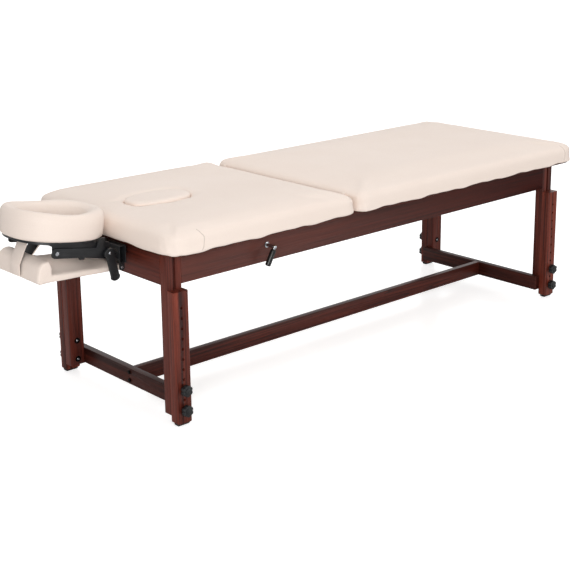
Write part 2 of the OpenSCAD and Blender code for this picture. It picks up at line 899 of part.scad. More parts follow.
// Side arm: a bar from the rivet to the beam, under the bolt, with a raised quadrant whose curved
// edge the bolt follows
arm_dir = [cos(clamp_angle), sin(clamp_angle)];
arm_up = [-arm_dir[1], arm_dir[0]];
rivet_at = [rivet_x, rivet_z];
clamp_at = [clamp_x, clamp_z];
arm_mid = (rivet_at + clamp_at) / 2;
edge_r = clamp_r - clamp_bolt_r - grip_gap;
notch_z = clamp_z - clamp_bolt_r - grip_gap;
edge_top_angle = clamp_angle + tilt_angle + asin(cam_washer_r / edge_r);
edge_low_angle = asin((notch_z - rivet_z) / edge_r);
edge_steps = 6;
curved_edge = [for (k = [0:edge_steps])
    let (t = edge_top_angle + (edge_low_angle - edge_top_angle) * k / edge_steps) rivet_at + edge_r * [cos(t), sin(t)]];
arm_outline = rounded(concat([rivet_at - (arm_dir + arm_up) * arm_h / 2, rivet_at - (arm_dir - arm_up) * arm_h / 2,
    clamp_at - arm_dir * 2 * quadrant_w + arm_up * arm_h / 2, curved_edge[0] - [quadrant_w, 0]], curved_edge,
    [[beam_x0, notch_z], [beam_x0, notch_z - arm_foot], arm_mid + arm_dir * lug_l / 2 - arm_up * arm_h / 2,
    arm_mid + arm_dir * lug_l / 2 - arm_up * (arm_h / 2 + lug_h),
    arm_mid - arm_dir * lug_l / 2 - arm_up * (arm_h / 2 + lug_h), arm_mid - arm_dir * lug_l / 2 - arm_up * arm_h / 2]),
    concat([corner_r, corner_r, 0, corner_r], [for (p = curved_edge) 0], [0, 0, 0, lug_r, lug_r, 0]));

module side_arms() {
    color(black)
        for (s = [-1, 1])
            difference() {
                upright(s * arm_y - arm_t / 2, arm_t)
                    polygon(arm_outline);
                along_y(rivet_x, rivet_z, s * arm_y - arm_t, 2 * arm_t, rivet_r + run_clear);
            }
}

// Hollow beam at the table, with two hangers for the shelf's bar
module face_carriage() {
    color(black) {
        difference() {
            translate([beam_x0, -beam_half, beam_z0])
                cube([beam_d, 2 * beam_half, beam_h]);
            translate([beam_x0 + beam_wall, -beam_half - over, beam_z0 + beam_wall])
                cube([beam_d - 2 * beam_wall, 2 * beam_half + 2 * over, beam_h - 2 * beam_wall]);
        }
        for (s = [-1, 1])
            difference() {
                upright(s > 0 ? hanger_y : -hanger_y - ear_t, ear_t)
                    polygon(rounded([[shelf_bar_x - hanger_w / 2, shelf_bar_z - hanger_w / 2],
                        [shelf_bar_x + hanger_w / 2, shelf_bar_z - hanger_w / 2],
                        [shelf_bar_x + hanger_w / 2, beam_z0 + over], [shelf_bar_x - hanger_w / 2, beam_z0 + over]],
                        [corner_r, corner_r, 0, 0]));
                along_y(shelf_bar_x, shelf_bar_z, s * hanger_y - 2 * ear_t, 4 * ear_t, shelf_bar_r + run_clear);
            }
    }
}

// Bar under the beam that the shelf's sleeve turns on
module shelf_bar() {
    color(steel)
        along_y(shelf_bar_x, shelf_bar_z, -hanger_y - ear_t, 2 * (hanger_y + ear_t), shelf_bar_r);
}

ear_y = arm_y - arm_t / 2 - slide_clear - ear_t;
module pivot_rivets() {
    color(steel)
        for (s = [-1, 1]) {
            along_y(rivet_x, rivet_z, s > 0 ? ear_y : -arm_y - arm_t / 2 - over, arm_y + arm_t / 2 - ear_y + over, rivet_r);
            along_y(rivet_x, rivet_z, s > 0 ? arm_y + arm_t / 2 : -arm_y - arm_t / 2 - rivet_head_t, rivet_head_t,
                rivet_head_r);
        }
}

// Outline of the face rest, drawn in by d
module face_outline(d) {
    translate([face_cx, 0])
        polygon(oval(face_l / 2 - d, face_w / 2 - d, face_power_share));
}

// Ring under the cushion, with a side plate on each side down to the rivet and the clamp's bolt
module face_platform() {
    plate_z = platform_top - platform_t;
    color(black) {
        translate([0, 0, plate_z])
            linear_extrude(height = platform_t)
                difference() {
                    face_outline(platform_inset);
                    translate([face_cx, 0])
                        polygon(oval(face_hole_l / 2 + platform_inset / 2, face_hole_w / 2 + platform_inset / 2, 1));
                }
        for (s = [-1, 1]) {
            difference() {
                upright(s > 0 ? ear_y : -ear_y - ear_t, ear_t)
                    polygon(rounded([rivet_at - [web_w, web_w] / 2, clamp_at + [web_w, -web_w] / 2,
                        [clamp_x + web_w / 2, plate_z + over], [rivet_x - web_w / 2, plate_z + over]],
                        [corner_r, corner_r, 0, 0]));
                along_y(rivet_x, rivet_z, s * ear_y - 2 * ear_t, 4 * ear_t, rivet_r + run_clear);
                along_y(clamp_x, clamp_z, s * ear_y - 2 * ear_t, 4 * ear_t, clamp_bolt_r + run_clear);
            }
            translate([rivet_x - web_w / 2, s > 0 ? ear_y - flange_in : -ear_y - ear_t, plate_z - ear_t])
                cube([clamp_x - rivet_x + web_w, flange_in + ear_t, ear_t]);
        }
    }
}

// Ring cushion: a rounded section swept round the opening
face_steps = 48;
section_shares = [[0.2, 0], [0.05, 0.12], [-0.02, 0.4], [0, 0.74], [0.09, 0.92], [0.28, 1], [0.55, 0.98],
    [0.82, 0.9], [0.96, 0.72], [1, 0.4], [0.97, 0.04], [0.85, 0]];
module face_cushion() {
    function edge(a, b, p, t) = [a * sign(cos(t)) * pow(abs(cos(t)), p[0]), b * sign(sin(t)) * pow(abs(sin(t)), p[1])];
    power = [face_power_share, face_power_share];
    points = [for (k = [0:face_steps - 1]) let (t = 360 * k / face_steps,
        o = edge(face_l / 2, face_w / 2, power, t), i = edge(face_hole_l / 2, face_hole_w / 2, hole_power_shares, t))
        for (q = section_shares) [face_cx + o[0] + (i[0] - o[0]) * q[0], o[1] + (i[1] - o[1]) * q[0],
            face_z + face_h * q[1]]];
    n = len(section_shares);
    function at(k, i) = (k % face_steps) * n + i % n;
    color(hide)
        polyhedron(points = points, faces = [for (k = [0:face_steps - 1], i = [0:n - 1])
            each [[at(k, i), at(k + 1, i + 1), at(k + 1, i)], [at(k, i), at(k, i + 1), at(k + 1, i + 1)]]]);
}

module clamp_lever() {
    y1 = -arm_y - arm_t / 2 - slide_clear;
    tip = [clamp_x + lever_l * sin(lever_lean), clamp_z - lever_l * cos(lever_lean)];
    color(black) {
        along_y(clamp_x, clamp_z, y1 - cam_washer_t, cam_washer_t, cam_washer_r);
        along_y(clamp_x, clamp_z, y1 - cam_washer_t - lever_boss_t, lever_boss_t, lever_boss_r);
        upright(y1 - cam_washer_t - lever_boss_t, lever_t) {
            link([clamp_x, clamp_z], tip, lever_w);
            translate(tip)
                circle(r = lever_tip_r);
        }
        along_y(clamp_x, clamp_z, y1 - over, 2 * (arm_y + arm_t / 2 + slide_clear) + over, clamp_bolt_r);
    }
}

// Shelf for the forearms: a pad with a rolled front edge and a sleeve at the bar
module arm_shelf() {
    x0 = shelf_x0 + strap_t + soft_clear;
    roll_mid = x0 + roll_w / 2;
    middle = (x0 + shelf_x1) / 2;
    function below(x) = shelf_front_z + (shelf_rear_z - shelf_front_z) * (x - x0) / (shelf_x1 - x0);
    outline = concat(
        [[x0 + shelf_edge_r, below(x0)], [x0, below(x0) + shelf_edge_r]],
        [for (k = [0:6]) let (t = 180 - 30 * k)
            [roll_mid + roll_w / 2 * cos(t), below(x0) + roll_h - roll_w / 4 + roll_w / 4 * sin(t)]],
        [[x0 + roll_w + over, below(x0) + shelf_t + over], [middle, below(middle) + shelf_t]],
        [for (k = [0:8]) let (t = 120 - 30 * k) [shelf_x1 + sleeve_r * cos(t), shelf_bar_z + sleeve_r * sin(t)]]);
    centre = [middle, below(middle) + shelf_t / 2];
    function pull(p, d) = [p[0] - d * sign(p[0] - centre[0]), p[1] - d * sign(p[1] - centre[1])];
    function slice(y, d) = [for (p = outline) let (q = pull(p, d)) [q[0], y, q[1]]];
    rings = [slice(-shelf_w / 2, shelf_edge_r / 4), slice(-shelf_w / 2 + shelf_edge_r, 0),
        slice(shelf_w / 2 - shelf_edge_r, 0), slice(shelf_w / 2, shelf_edge_r / 4)];
    color(hide)
        difference() {
            slab(rings, len(outline));
            along_y(shelf_x1, shelf_bar_z, -shelf_w, 2 * shelf_w, shelf_bar_r + soft_clear);
        }
}

// Solid between slices of n points each
module slab(rings, n) {
    polyhedron(points = [for (r = rings) each r], faces = concat(
        [for (k = [0:2], i = [0:n - 1]) [k * n + i, (k + 1) * n + (i + 1) % n, k * n + (i + 1) % n]],
        [for (k = [0:2], i = [0:n - 1]) [k * n + i, (k + 1) * n + i, (k + 1) * n + (i + 1) % n]],
        [[for (i = [0:n - 1]) i]], [[for (i = [n - 1:-1:0]) 3 * n + i]]));
}

// Webbing that carries the shelf: up its rolled edge to the platform, and back down behind the roll
module shelf_strap() {
    roll_top = shelf_front_z + roll_h;
    color(hide)
        upright(-strap_w / 2, strap_w)
            strip([[shelf_x0 + strap_t, shelf_front_z + shelf_edge_r], [shelf_x0 + strap_t, roll_top],
                [strap_top_x, strap_top_z - strap_t], [strap_back_x, strap_top_z - strap_t],
                [shelf_x0 + strap_t + roll_w / 2, roll_top + soft_clear + strap_t]], strap_t);
}

long_apron(false);  // near_apron
long_apron(true);  // far_apron
end_apron(false);  // head_apron
end_apron(true);  // foot_apron
post(false, false);  // head_near_post
post(false, true);  // head_far_post
post(true, false);  // foot_near_post
post(true, true);  // foot_far_post
crossbar(false);  // head_crossbar
crossbar(true);  // foot_crossbar
stretcher();
stretcher_bolts();
post_nuts();
cross_rail(rail_back_x);  // back_rail
cross_rail(rail_seat_x);  // seat_rail
cross_rail(rail_foot_x);  // foot_rail
foot_board();
foot_cushion();
fixed_hinge_plates();
hinge_pins();
spring_bracket();
shaft_block();
rod_sockets();
leg(false, false);  // head_near_leg
leg(false, true);  // head_far_leg
leg(true, false);  // foot_near_leg
leg(true, true);  // foot_far_leg
foot_pad(false, false);  // head_near_pad
foot_pad(false, true);  // head_far_pad
foot_pad(true, false);  // foot_near_pad
foot_pad(true, true);  // foot_far_pad
knob(false, false, upper_hole_number);  // head_near_upper_knob
knob(false, false, lower_hole_number);  // head_near_lower_knob
knob(false, true, upper_hole_number);  // head_far_upper_knob
knob(false, true, lower_hole_number);  // head_far_lower_knob
knob(true, false, upper_hole_number);  // foot_near_upper_knob
knob(true, false, lower_hole_number);  // foot_near_lower_knob
knob(true, true, upper_hole_number);  // foot_far_upper_knob
knob(true, true, lower_hole_number);  // foot_far_lower_knob
back_board();
back_cushion();
moving_hinge_plates();
spring_clevis();
breath_plug();
spring_tube();
spring_rod();
release_shaft();
release_grip();
face_carriage();
side_arms();
face_rods();
rod_collars();
pivot_rivets();
shelf_bar();
face_platform();
face_cushion();
clamp_lever();
arm_shelf();
shelf_strap();
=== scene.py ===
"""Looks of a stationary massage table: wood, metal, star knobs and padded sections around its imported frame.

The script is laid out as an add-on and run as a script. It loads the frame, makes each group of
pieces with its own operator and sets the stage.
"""

import json
from math import copysign, cos, pi, radians, sin, tan

import bmesh
import bpy
import numpy as np
from bpy.props import FloatProperty, FloatVectorProperty, IntProperty, PointerProperty
from mathutils import Matrix, Vector
from mathutils.bvhtree import BVHTree

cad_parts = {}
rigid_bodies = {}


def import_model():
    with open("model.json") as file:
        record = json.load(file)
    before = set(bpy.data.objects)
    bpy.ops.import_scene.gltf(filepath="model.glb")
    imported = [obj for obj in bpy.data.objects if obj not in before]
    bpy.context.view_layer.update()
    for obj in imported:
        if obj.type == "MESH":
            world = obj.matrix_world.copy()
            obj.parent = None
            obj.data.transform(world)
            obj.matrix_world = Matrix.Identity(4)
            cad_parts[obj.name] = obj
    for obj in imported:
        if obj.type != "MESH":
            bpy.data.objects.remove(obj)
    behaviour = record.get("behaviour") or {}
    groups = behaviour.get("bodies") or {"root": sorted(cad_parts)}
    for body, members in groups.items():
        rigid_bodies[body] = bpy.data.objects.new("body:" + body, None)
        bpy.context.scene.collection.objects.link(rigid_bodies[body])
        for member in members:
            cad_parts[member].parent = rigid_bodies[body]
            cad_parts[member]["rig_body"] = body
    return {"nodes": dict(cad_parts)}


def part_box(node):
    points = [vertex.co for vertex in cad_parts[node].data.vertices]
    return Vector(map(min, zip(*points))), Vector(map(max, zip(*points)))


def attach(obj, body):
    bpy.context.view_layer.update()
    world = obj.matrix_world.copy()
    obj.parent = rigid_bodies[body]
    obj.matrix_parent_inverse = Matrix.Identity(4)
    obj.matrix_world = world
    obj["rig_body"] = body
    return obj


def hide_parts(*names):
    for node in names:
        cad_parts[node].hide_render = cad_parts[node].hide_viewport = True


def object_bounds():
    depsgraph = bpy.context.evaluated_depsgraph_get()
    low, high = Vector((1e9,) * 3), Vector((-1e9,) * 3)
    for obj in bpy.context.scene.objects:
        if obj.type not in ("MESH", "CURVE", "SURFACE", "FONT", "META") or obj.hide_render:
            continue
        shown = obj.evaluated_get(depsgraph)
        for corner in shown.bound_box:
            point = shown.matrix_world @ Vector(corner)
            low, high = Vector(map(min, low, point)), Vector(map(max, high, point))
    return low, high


bl_info = {
    "name": "Massage table looks",
    "version": (1, 0, 0),
    "blender": (4, 5, 0),
    "location": "View3D > Sidebar > Massage table",
    "description": "Dresses the packed massage table with wood, metal and upholstery",
    "category": "Object",
}

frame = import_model()
CAD_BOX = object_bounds()

# Places and sizes measured from the photograph, in metres
PAD_HALF = 0.381
PAD_CORNER, GAP_CORNER = 0.070, 0.036
RING_X, RING_Z = -0.975, 0.570
RING_HALF_X, RING_HALF_Y, RING_RISE = 0.147, 0.135, 0.087
RING_HOLE_X, RING_HOLE_Y = 0.095, 0.078
RING_LEAN = radians(7.8)
LEVER_BOLT = (-0.863, 0.518)
# How far a board or plate ends inside its pad's outline, and its play in the pad's skirt, in metres
BOARD_INSET, BOARD_PLAY = 0.012, 0.003
# Thickness of a knob's grip, its cap and its hub, in metres
KNOB_THICK, KNOB_CAP, KNOB_HUB = 0.015, 0.002, 0.005
# Closest that two separate points of a mesh lie, in metres
WELD = 0.00001
# The legs, in the order in which their pieces are made
LEGS = ("head_near", "head_far", "foot_near", "foot_far")


def linear(red, green, blue):
    """A colour read as display values from 0 to 255, as the shader wants it."""
    def one(value):
        value /= 255
        return value / 12.92 if value <= 0.04045 else ((value + 0.055) / 1.055) ** 2.4

    return one(red), one(green), one(blue), 1.0


# ---- Settings ----


def colour_setting(name, description, *shade):
    """A colour that a user can change."""
    return FloatVectorProperty(
        name=name, description=description, subtype="COLOR", size=4, min=0, max=1, default=linear(*shade))


def length_setting(name, description, low, high, usual):
    """A length that a user can change."""
    return FloatProperty(name=name, description=description, unit="LENGTH", min=low, max=high, default=usual)


def lamp_setting(name, description, usual):
    """The strength of a lamp, which a user can change."""
    return FloatProperty(name=name, description=description, unit="POWER", min=0, max=2000, default=usual)


class TABLE_PG_wood(bpy.types.PropertyGroup):
    """Colours and edges of the wooden frame"""

    dark: colour_setting("Dark", "Colour of the dark streaks", 34, 13, 10)
    middle: colour_setting("Middle", "Colour of most of the wood", 84, 34, 25)
    light: colour_setting("Light", "Colour of the light streaks and rubbed edges", 134, 66, 50)
    edge: length_setting("Edge rounding", "How far the boards' edges are rounded", 0, 0.006, 0.0022)
    bevel_steps: IntProperty(
        name="Rounding steps", description="Faces across each rounded edge", min=1, max=6, default=3)


class TABLE_PG_cover(bpy.types.PropertyGroup):
    """Colour and stuffing of the padded pieces"""

    colour: colour_setting("Cover", "Colour of the cover", 244, 229, 218)
    # The strap's inner side is dark Velcro; its near black colour also paints the shade that falls on that side.
    lining: colour_setting("Lining", "Colour of the strap's inner side", 30, 29, 29)
    pressure: FloatProperty(name="Pressure", description="Pressure that swells the pads", min=0, max=20, default=4)
    steps: IntProperty(name="Steps", description="Frames for which the pads swell", min=1, max=60, default=20)
    long_voxel: length_setting("Long pads' faces", "Size of the faces of the long pads", 0.006, 0.02, 0.010)
    small_voxel: length_setting("Small pads' faces", "Size of the faces of the small pads", 0.003, 0.01, 0.0045)
    swell: length_setting("Swell", "Farthest that the long pads' surface moves", 0, 0.02, 0.006)
    seam: length_setting("Seam width", "Width of the sewn seams", 0.001, 0.008, 0.004)


class TABLE_PG_fittings(bpy.types.PropertyGroup):
    """Sizes and colours of the knobs, levers and plates"""

    black: colour_setting("Black", "Colour of powder coat and plastic", 23, 24, 26)
    knob_radius: length_setting("Knob radius", "From the knob's middle to a lobe's tip", 0.01, 0.03, 0.018)
    knob_lobes: IntProperty(name="Knob lobes", description="How many lobes a knob has", min=3, max=10, default=6)
    plate_edge: length_setting("Plate edge", "How far the metal's edges are rounded", 0, 0.002, 0.0007)


class TABLE_PG_stage(bpy.types.PropertyGroup):
    """Light, floor and camera"""

    key: lamp_setting("Key light", "Strength of the light beside the camera", 91)
    overhead: lamp_setting("Overhead light", "Strength of the light above", 46)
    side: lamp_setting("Side light", "Strength of the light at the foot end", 37)
    fill: FloatProperty(name="Fill", description="Strength of the even light all round", min=0, max=2, default=0.40)
    lens: FloatProperty(
        name="Lens", description="Focal length on a 36 mm sensor", unit="CAMERA", min=20, max=200, default=78.68)


# ---- Editing helpers ----


def alone(*pieces):
    """Selects only these pieces, in object mode, with the first one active."""
    if bpy.context.object and bpy.context.object.mode != "OBJECT":
        bpy.ops.object.mode_set(mode="OBJECT")
    bpy.ops.object.select_all(action="DESELECT")
    for obj in pieces:
        obj.select_set(True)
        bpy.context.view_layer.objects.active = pieces[0]


def choose(kind):
    """Switches edit mode to vertices, edges or faces, with nothing selected."""
    bpy.ops.mesh.select_mode(type=kind)
    bpy.ops.mesh.select_all(action="DESELECT")


def edit(obj, kind="FACE"):
    """Puts only obj in edit mode, with nothing selected."""
    alone(obj)
    bpy.ops.object.mode_set(mode="EDIT")
    choose(kind)


def pick(obj, kind, test):
    """Selects the edges or faces in edit mode that pass the test."""
    choose(kind)
    shape = bmesh.from_edit_mesh(obj.data)
    for item in shape.edges if kind == "EDGE" else shape.faces:
        item.select_set(bool(test(item)))
    shape.select_flush_mode()
    bmesh.update_edit_mesh(obj.data)


def done(obj):
    """Leaves edit mode."""
    bpy.ops.object.mode_set(mode="OBJECT")
    return obj


def linked(name, data):
    """A new object in the scene for a mesh, a lamp or a camera."""
    obj = bpy.data.objects.new(name, data)
    bpy.context.scene.collection.objects.link(obj)
    return obj


def from_points(name, points, faces):
    """A new piece from its points and faces."""
    mesh = bpy.data.meshes.new(name)
    mesh.from_pydata(points, [], faces)
    return linked(name, mesh)


def fresh(name, adder, **values):
    """Adds a primitive under a plain name, with its place in its mesh."""
    alone()
    adder(**values)
    obj = bpy.context.object
    obj.name = obj.data.name = name
    bpy.ops.object.transform_apply(location=True, rotation=True, scale=True)
    return obj


def smooth(obj, angle=35.0):
    """Shades a piece smooth except across its sharp edges."""
    alone(obj)
    bpy.ops.object.shade_smooth_by_angle(angle=radians(angle))


def apply_modifier(obj, kind, **settings):
    """Adds one modifier and applies it."""
    made = obj.modifiers.new(kind.lower(), kind)
    for key, value in settings.items():
        setattr(made, key, value)
    alone(obj)
    bpy.ops.object.modifier_apply(modifier=made.name)


def copy_of(obj, name):
    """A copy with a mesh of its own."""
    made = linked(name, obj.data.copy())
    made.data.name = name
    return made


def remove(obj):
    """Deletes a piece that was only a tool."""
    mesh = obj.data
    bpy.data.objects.remove(obj)
    bpy.data.meshes.remove(mesh)


def coordinates(obj):
    """The mesh's points as an array."""
    points = np.empty(len(obj.data.vertices) * 3)
    obj.data.vertices.foreach_get("co", points)
    return points.reshape(-1, 3)


def set_coordinates(obj, points):
    """Writes an array back to the mesh's points."""
    obj.data.vertices.foreach_set("co", points.ravel())
    obj.data.update()


def finish_piece(obj, body, slot, *materials):
    """Gives a piece its materials and ties it to its body. slot is not used."""
    obj.data.materials.clear()
    for material in materials:
        obj.data.materials.append(material)
    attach(obj, body)
    return obj


def body_of(node):
    """The body that a node rides on."""
    return frame["nodes"][node]["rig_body"]


def mark_slots(obj):
    """Gives a mesh two empty slots, so that a bevel can put its faces in the second."""
    obj.data.materials.clear()
    obj.data.materials.append(None)
    obj.data.materials.append(None)
    obj.data.polygons.foreach_set("material_index", [0] * len(obj.data.polygons))


def opened(node, name, flat=None):
    """A copy of a node in edit mode, all selected and welded, its faces joined where they turn less than flat."""
    obj = copy_of(frame["nodes"][node], name)
    mark_slots(obj)
    edit(obj, "VERT")
    bpy.ops.mesh.customdata_custom_splitnormals_clear()
    bpy.ops.mesh.select_all(action="SELECT")
    bpy.ops.mesh.remove_doubles(threshold=WELD)
    if flat:
        bpy.ops.mesh.dissolve_limited(angle_limit=radians(flat))
    return obj


def round_edges(sharp, width, steps, **more):
    """Rounds the edges that turn more than sharp, in edit mode."""
    choose("EDGE")
    bpy.ops.mesh.edges_select_sharp(sharpness=radians(sharp))
    bpy.ops.mesh.bevel(offset=width, segments=steps, clamp_overlap=True, **more)


def settle(obj, node, slot, *materials):
    """Turns the bevel's slot into the mark that the wear reads, and puts the piece in its node's place."""
    done(obj)
    slots = np.array([face.material_index for face in obj.data.polygons], np.float32)
    obj.data.attributes.new("edge", "FLOAT", "FACE").data.foreach_set("value", slots)
    obj.data.polygons.foreach_set("material_index", [0] * len(slots))
    smooth(obj)
    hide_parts(node)
    return finish_piece(obj, body_of(node), slot, *materials)


def softened(node, slot, material, width, steps=3, name=None, shape=None):
    """A copy of a rigid node with rounded edges, which are marked for wear, in place of the node.

    shape, where given, moves the copy's corners before its edges are rounded.
    """
    obj = opened(node, name or node + "_shape", 0.3)
    if shape:
        inner = bmesh.from_edit_mesh(obj.data)
        shape(inner.verts)
        bmesh.update_edit_mesh(obj.data)
    if width > 0:
        round_edges(30, width, steps, material=1)
    return settle(obj, node, slot, material)


# ---- Materials ----

COLOUR, VALUE, VECTOR = "NodeSocketColor", "NodeSocketFloat", "NodeSocketVector"
# What the groups of a whole finish put out
FINISH = (("Color", COLOUR), ("Roughness", VALUE), ("Height", VALUE))


def connect(tree, socket, value):
    """Sets a socket, or links an output to it."""
    if isinstance(value, bpy.types.NodeSocket):
        tree.links.new(value, socket)
    else:
        socket.default_value = value


def feed(tree, sockets, **values):
    """Sets or links sockets by their names."""
    for key, value in values.items():
        connect(tree, sockets[key.replace("_", " ")], value)


def add_node(tree, kind, settings=None, **inputs):
    """Adds a shader node. Each input is a value, or the output that feeds it."""
    made = tree.nodes.new("ShaderNode" + kind)
    for key, value in (settings or {}).items():
        setattr(made, key, value)
    feed(tree, made.inputs, **inputs)
    return made


def combine(tree, operation, *values):
    """Adds, subtracts or multiplies values, one after another."""
    total = values[0]
    for value in values[1:]:
        made = add_node(tree, "Math", {"operation": operation})
        connect(tree, made.inputs[0], total)
        connect(tree, made.inputs[1], value)
        total = made.outputs[0]
    return total


def plus(tree, *values):
    """The sum of values."""
    return combine(tree, "ADD", *values)


def times(tree, *values):
    """The product of values."""
    return combine(tree, "MULTIPLY", *values)


def mix(tree, share, first, second, blend="MIX"):
    """Blends two colours."""
    made = add_node(tree, "Mix", {"data_type": "RGBA", "blend_type": blend})
    for place, value in ((0, share), (6, first), (7, second)):
        connect(tree, made.inputs[place], value)
    return made.outputs[2]


def between(tree, value, low, high, new_low=0.0, new_high=1.0):
    """Maps a value from one range to another, held within it."""
    return add_node(
        tree, "MapRange", Value=value, From_Min=low, From_Max=high, To_Min=new_low, To_Max=new_high).outputs[0]


def noise(tree, place, scale, detail=3.0, roughness=0.5, distortion=0.0):
    """Cloudy noise from 0 to 1. A scale of three values stretches it along each axis."""
    if isinstance(scale, tuple):
        made = add_node(tree, "VectorMath", {"operation": "MULTIPLY"})
        connect(tree, made.inputs[0], place)
        made.inputs[1].default_value = scale
        place, scale = made.outputs[0], 1.0
    return add_node(tree, "TexNoise", Vector=place, Scale=scale, Detail=detail, Roughness=roughness,
                    Distortion=distortion).outputs["Fac"]


def here(tree):
    """The place on the object."""
    return add_node(tree, "TexCoord").outputs["Object"]


def along_table(tree, place, low, high):
    """0 to 1 between two places on X."""
    return between(tree, add_node(tree, "SeparateXYZ", Vector=place).outputs["X"], low, high)


def new_group(name, inputs, outputs=FINISH):
    """A node group with named sockets, what it is given and what it puts out."""
    group = bpy.data.node_groups.new(name, "ShaderNodeTree")
    for label, kind, *usual in inputs:
        socket = group.interface.new_socket(label, in_out="INPUT", socket_type=kind)
        if usual:
            socket.default_value = usual[0]
    for label, kind in outputs:
        group.interface.new_socket(label, in_out="OUTPUT", socket_type=kind)
    return group, group.nodes.new("NodeGroupInput").outputs, group.nodes.new("NodeGroupOutput").inputs


def wood_group():
    """Streaks, growth rings and pores of stained wood whose grain runs along X."""
    group, given, result = new_group("Wood grain", [
        ("Vector", VECTOR), ("Dark", COLOUR), ("Middle", COLOUR), ("Light", COLOUR),
        ("Streaks", VALUE, 0.5), ("Figure", VALUE, 0.3), ("Gloss", VALUE, 0.35)])
    place, dark, middle = given["Vector"], given["Dark"], given["Middle"]
    broad = noise(group, place, (1.1, 26.0, 26.0), 4.0, 0.55, 0.4)
    bands = noise(group, place, (2.2, 120.0, 120.0), 5.0, 0.6, 0.2)
    fibres = noise(group, place, (9.0, 620.0, 620.0), 3.0, 0.6)
    rings = combine(group, "FRACT", times(group, noise(group, place, (0.7, 24.0, 24.0), 2.0, 0.4), 15.0), 0.0)
    pores = between(group, noise(group, place, (42.0, 1300.0, 1300.0), 2.0), 0.62, 0.72)
    streak = plus(
        group, times(group, between(group, bands, 0.32, 0.68), 0.6), times(group, between(group, broad, 0.3, 0.7), 0.4))
    ground = mix(group, between(group, streak, 0.1, 0.7), dark, middle)
    lit = mix(group, times(group, between(group, streak, 0.25, 0.95), given["Streaks"]), ground, given["Light"])
    ringed = mix(group, times(group, between(group, rings, 0.55, 1.0), given["Figure"]), lit, dark)
    fine = mix(group, between(group, fibres, 0.3, 0.75, 0.0, 0.34), ringed, middle)
    feed(group, result, Color=mix(group, times(group, pores, 0.7), fine, dark),
         Roughness=plus(group, given["Gloss"], between(group, fibres, 0.2, 0.8, -0.04, 0.07)),
         Height=combine(group, "SUBTRACT", times(group, fibres, 0.5), pores))
    return group


def wear_group():
    """Where rounded edges are rubbed: the mesh's edge mark, broken up by noise."""
    group, given, result = new_group("Edge wear", [("Amount", VALUE, 0.5)], [("Mask", VALUE)])
    mark = add_node(group, "Attribute", {"attribute_name": "edge"}).outputs["Fac"]
    patchy = between(group, noise(group, here(group), 38.0, 4.0, 0.6), 0.32, 0.62)
    feed(group, result, Mask=times(group, mark, patchy, given["Amount"]))
    return group


def hide_group():
    """Pebbled grain, soft creases, faint changes of tone and painted shade in the grain's hollows of a stretched
    leatherette cover.
    """
    group, given, result = new_group("Leatherette", [("Color", COLOUR), ("Creases", VALUE, 0.5)])
    place, colour = here(group), given["Color"]
    bent = mix(
        group, 0.0006, place, add_node(group, "TexNoise", Vector=place, Scale=260.0).outputs["Color"], "ADD")
    cells = add_node(group, "TexVoronoi", {"feature": "DISTANCE_TO_EDGE"}, Vector=bent, Scale=520.0)
    pebbles = between(group, cells.outputs["Distance"], 0.0, 0.22)
    tone = noise(group, place, 5.0, 3.0, 0.55)
    specks = noise(group, place, 190.0, 3.0, 0.6)
    creases = noise(group, place, (9.0, 9.0, 20.0), 3.0, 0.5, 0.6)
    shade = plus(group, between(group, tone, 0.3, 0.7, 0.0, 0.05), between(group, specks, 0.3, 0.7, 0.0, 0.03))
    # valley is painted shade: it draws the grain's hollows darker, and rougher.
    valley = times(group, combine(group, "SUBTRACT", 1.0, pebbles), 0.10)
    deep = mix(group, 1.0, colour, (0.66, 0.56, 0.5, 1.0), "MULTIPLY")
    feed(group, result, Color=mix(group, plus(group, shade, valley), colour, deep),
         Roughness=plus(group, between(group, tone, 0.3, 0.7, 0.44, 0.52), times(group, valley, 0.8)),
         Height=plus(group, times(group, pebbles, 0.12), times(group, creases, given["Creases"], 6.0)))
    return group


def speckle_group():
    """Fine orange-peel texture of powder coat and moulded plastic, with faint scuffs and dust."""
    group, given, result = new_group("Fine texture", [
        ("Color", COLOUR), ("Scale", VALUE, 700.0), ("Gloss", VALUE, 0.4)])
    place, colour = here(group), given["Color"]
    scuffs = noise(group, place, (60.0, 60.0, 200.0), 4.0, 0.65)
    dust = between(group, noise(group, place, 23.0, 5.0, 0.6), 0.45, 0.75, 0.0, 0.10)
    pale = mix(group, 1.0, colour, (0.10, 0.10, 0.10, 1.0), "ADD")
    feed(group, result, Color=mix(group, plus(group, dust, between(group, scuffs, 0.6, 0.8, 0.0, 0.12)), colour, pale),
         Roughness=plus(group, given["Gloss"], between(group, scuffs, 0.3, 0.75, -0.05, 0.10)),
         Height=noise(group, place, given["Scale"], 2.0, 0.6))
    return group


def new_material(name):
    """An empty material, its tree and its shader, already wired to the output."""
    material = bpy.data.materials.new(name)
    material.use_nodes = True
    tree = material.node_tree
    tree.nodes.clear()
    out = tree.nodes.new("ShaderNodeOutputMaterial")
    shader = tree.nodes.new("ShaderNodeBsdfPrincipled")
    tree.links.new(shader.outputs[0], out.inputs["Surface"])
    return material, tree, shader


def place_group(tree, group, **values):
    """A node group placed in a material with its values: what it puts out."""
    made = tree.nodes.new("ShaderNodeGroup")
    made.node_tree = group
    feed(tree, made.inputs, **values)
    return made.outputs


def surface(tree, shader, colour, roughness, height, strength, distance, specular=0.5):
    """Feeds colour, roughness and bump to the shader."""
    feed(tree, shader.inputs, Base_Color=colour, Roughness=roughness)
    shader.inputs["Specular IOR Level"].default_value = specular
    made = add_node(tree, "Bump", Strength=strength, Distance=distance, Height=height)
    tree.links.new(made.outputs["Normal"], shader.inputs["Normal"])


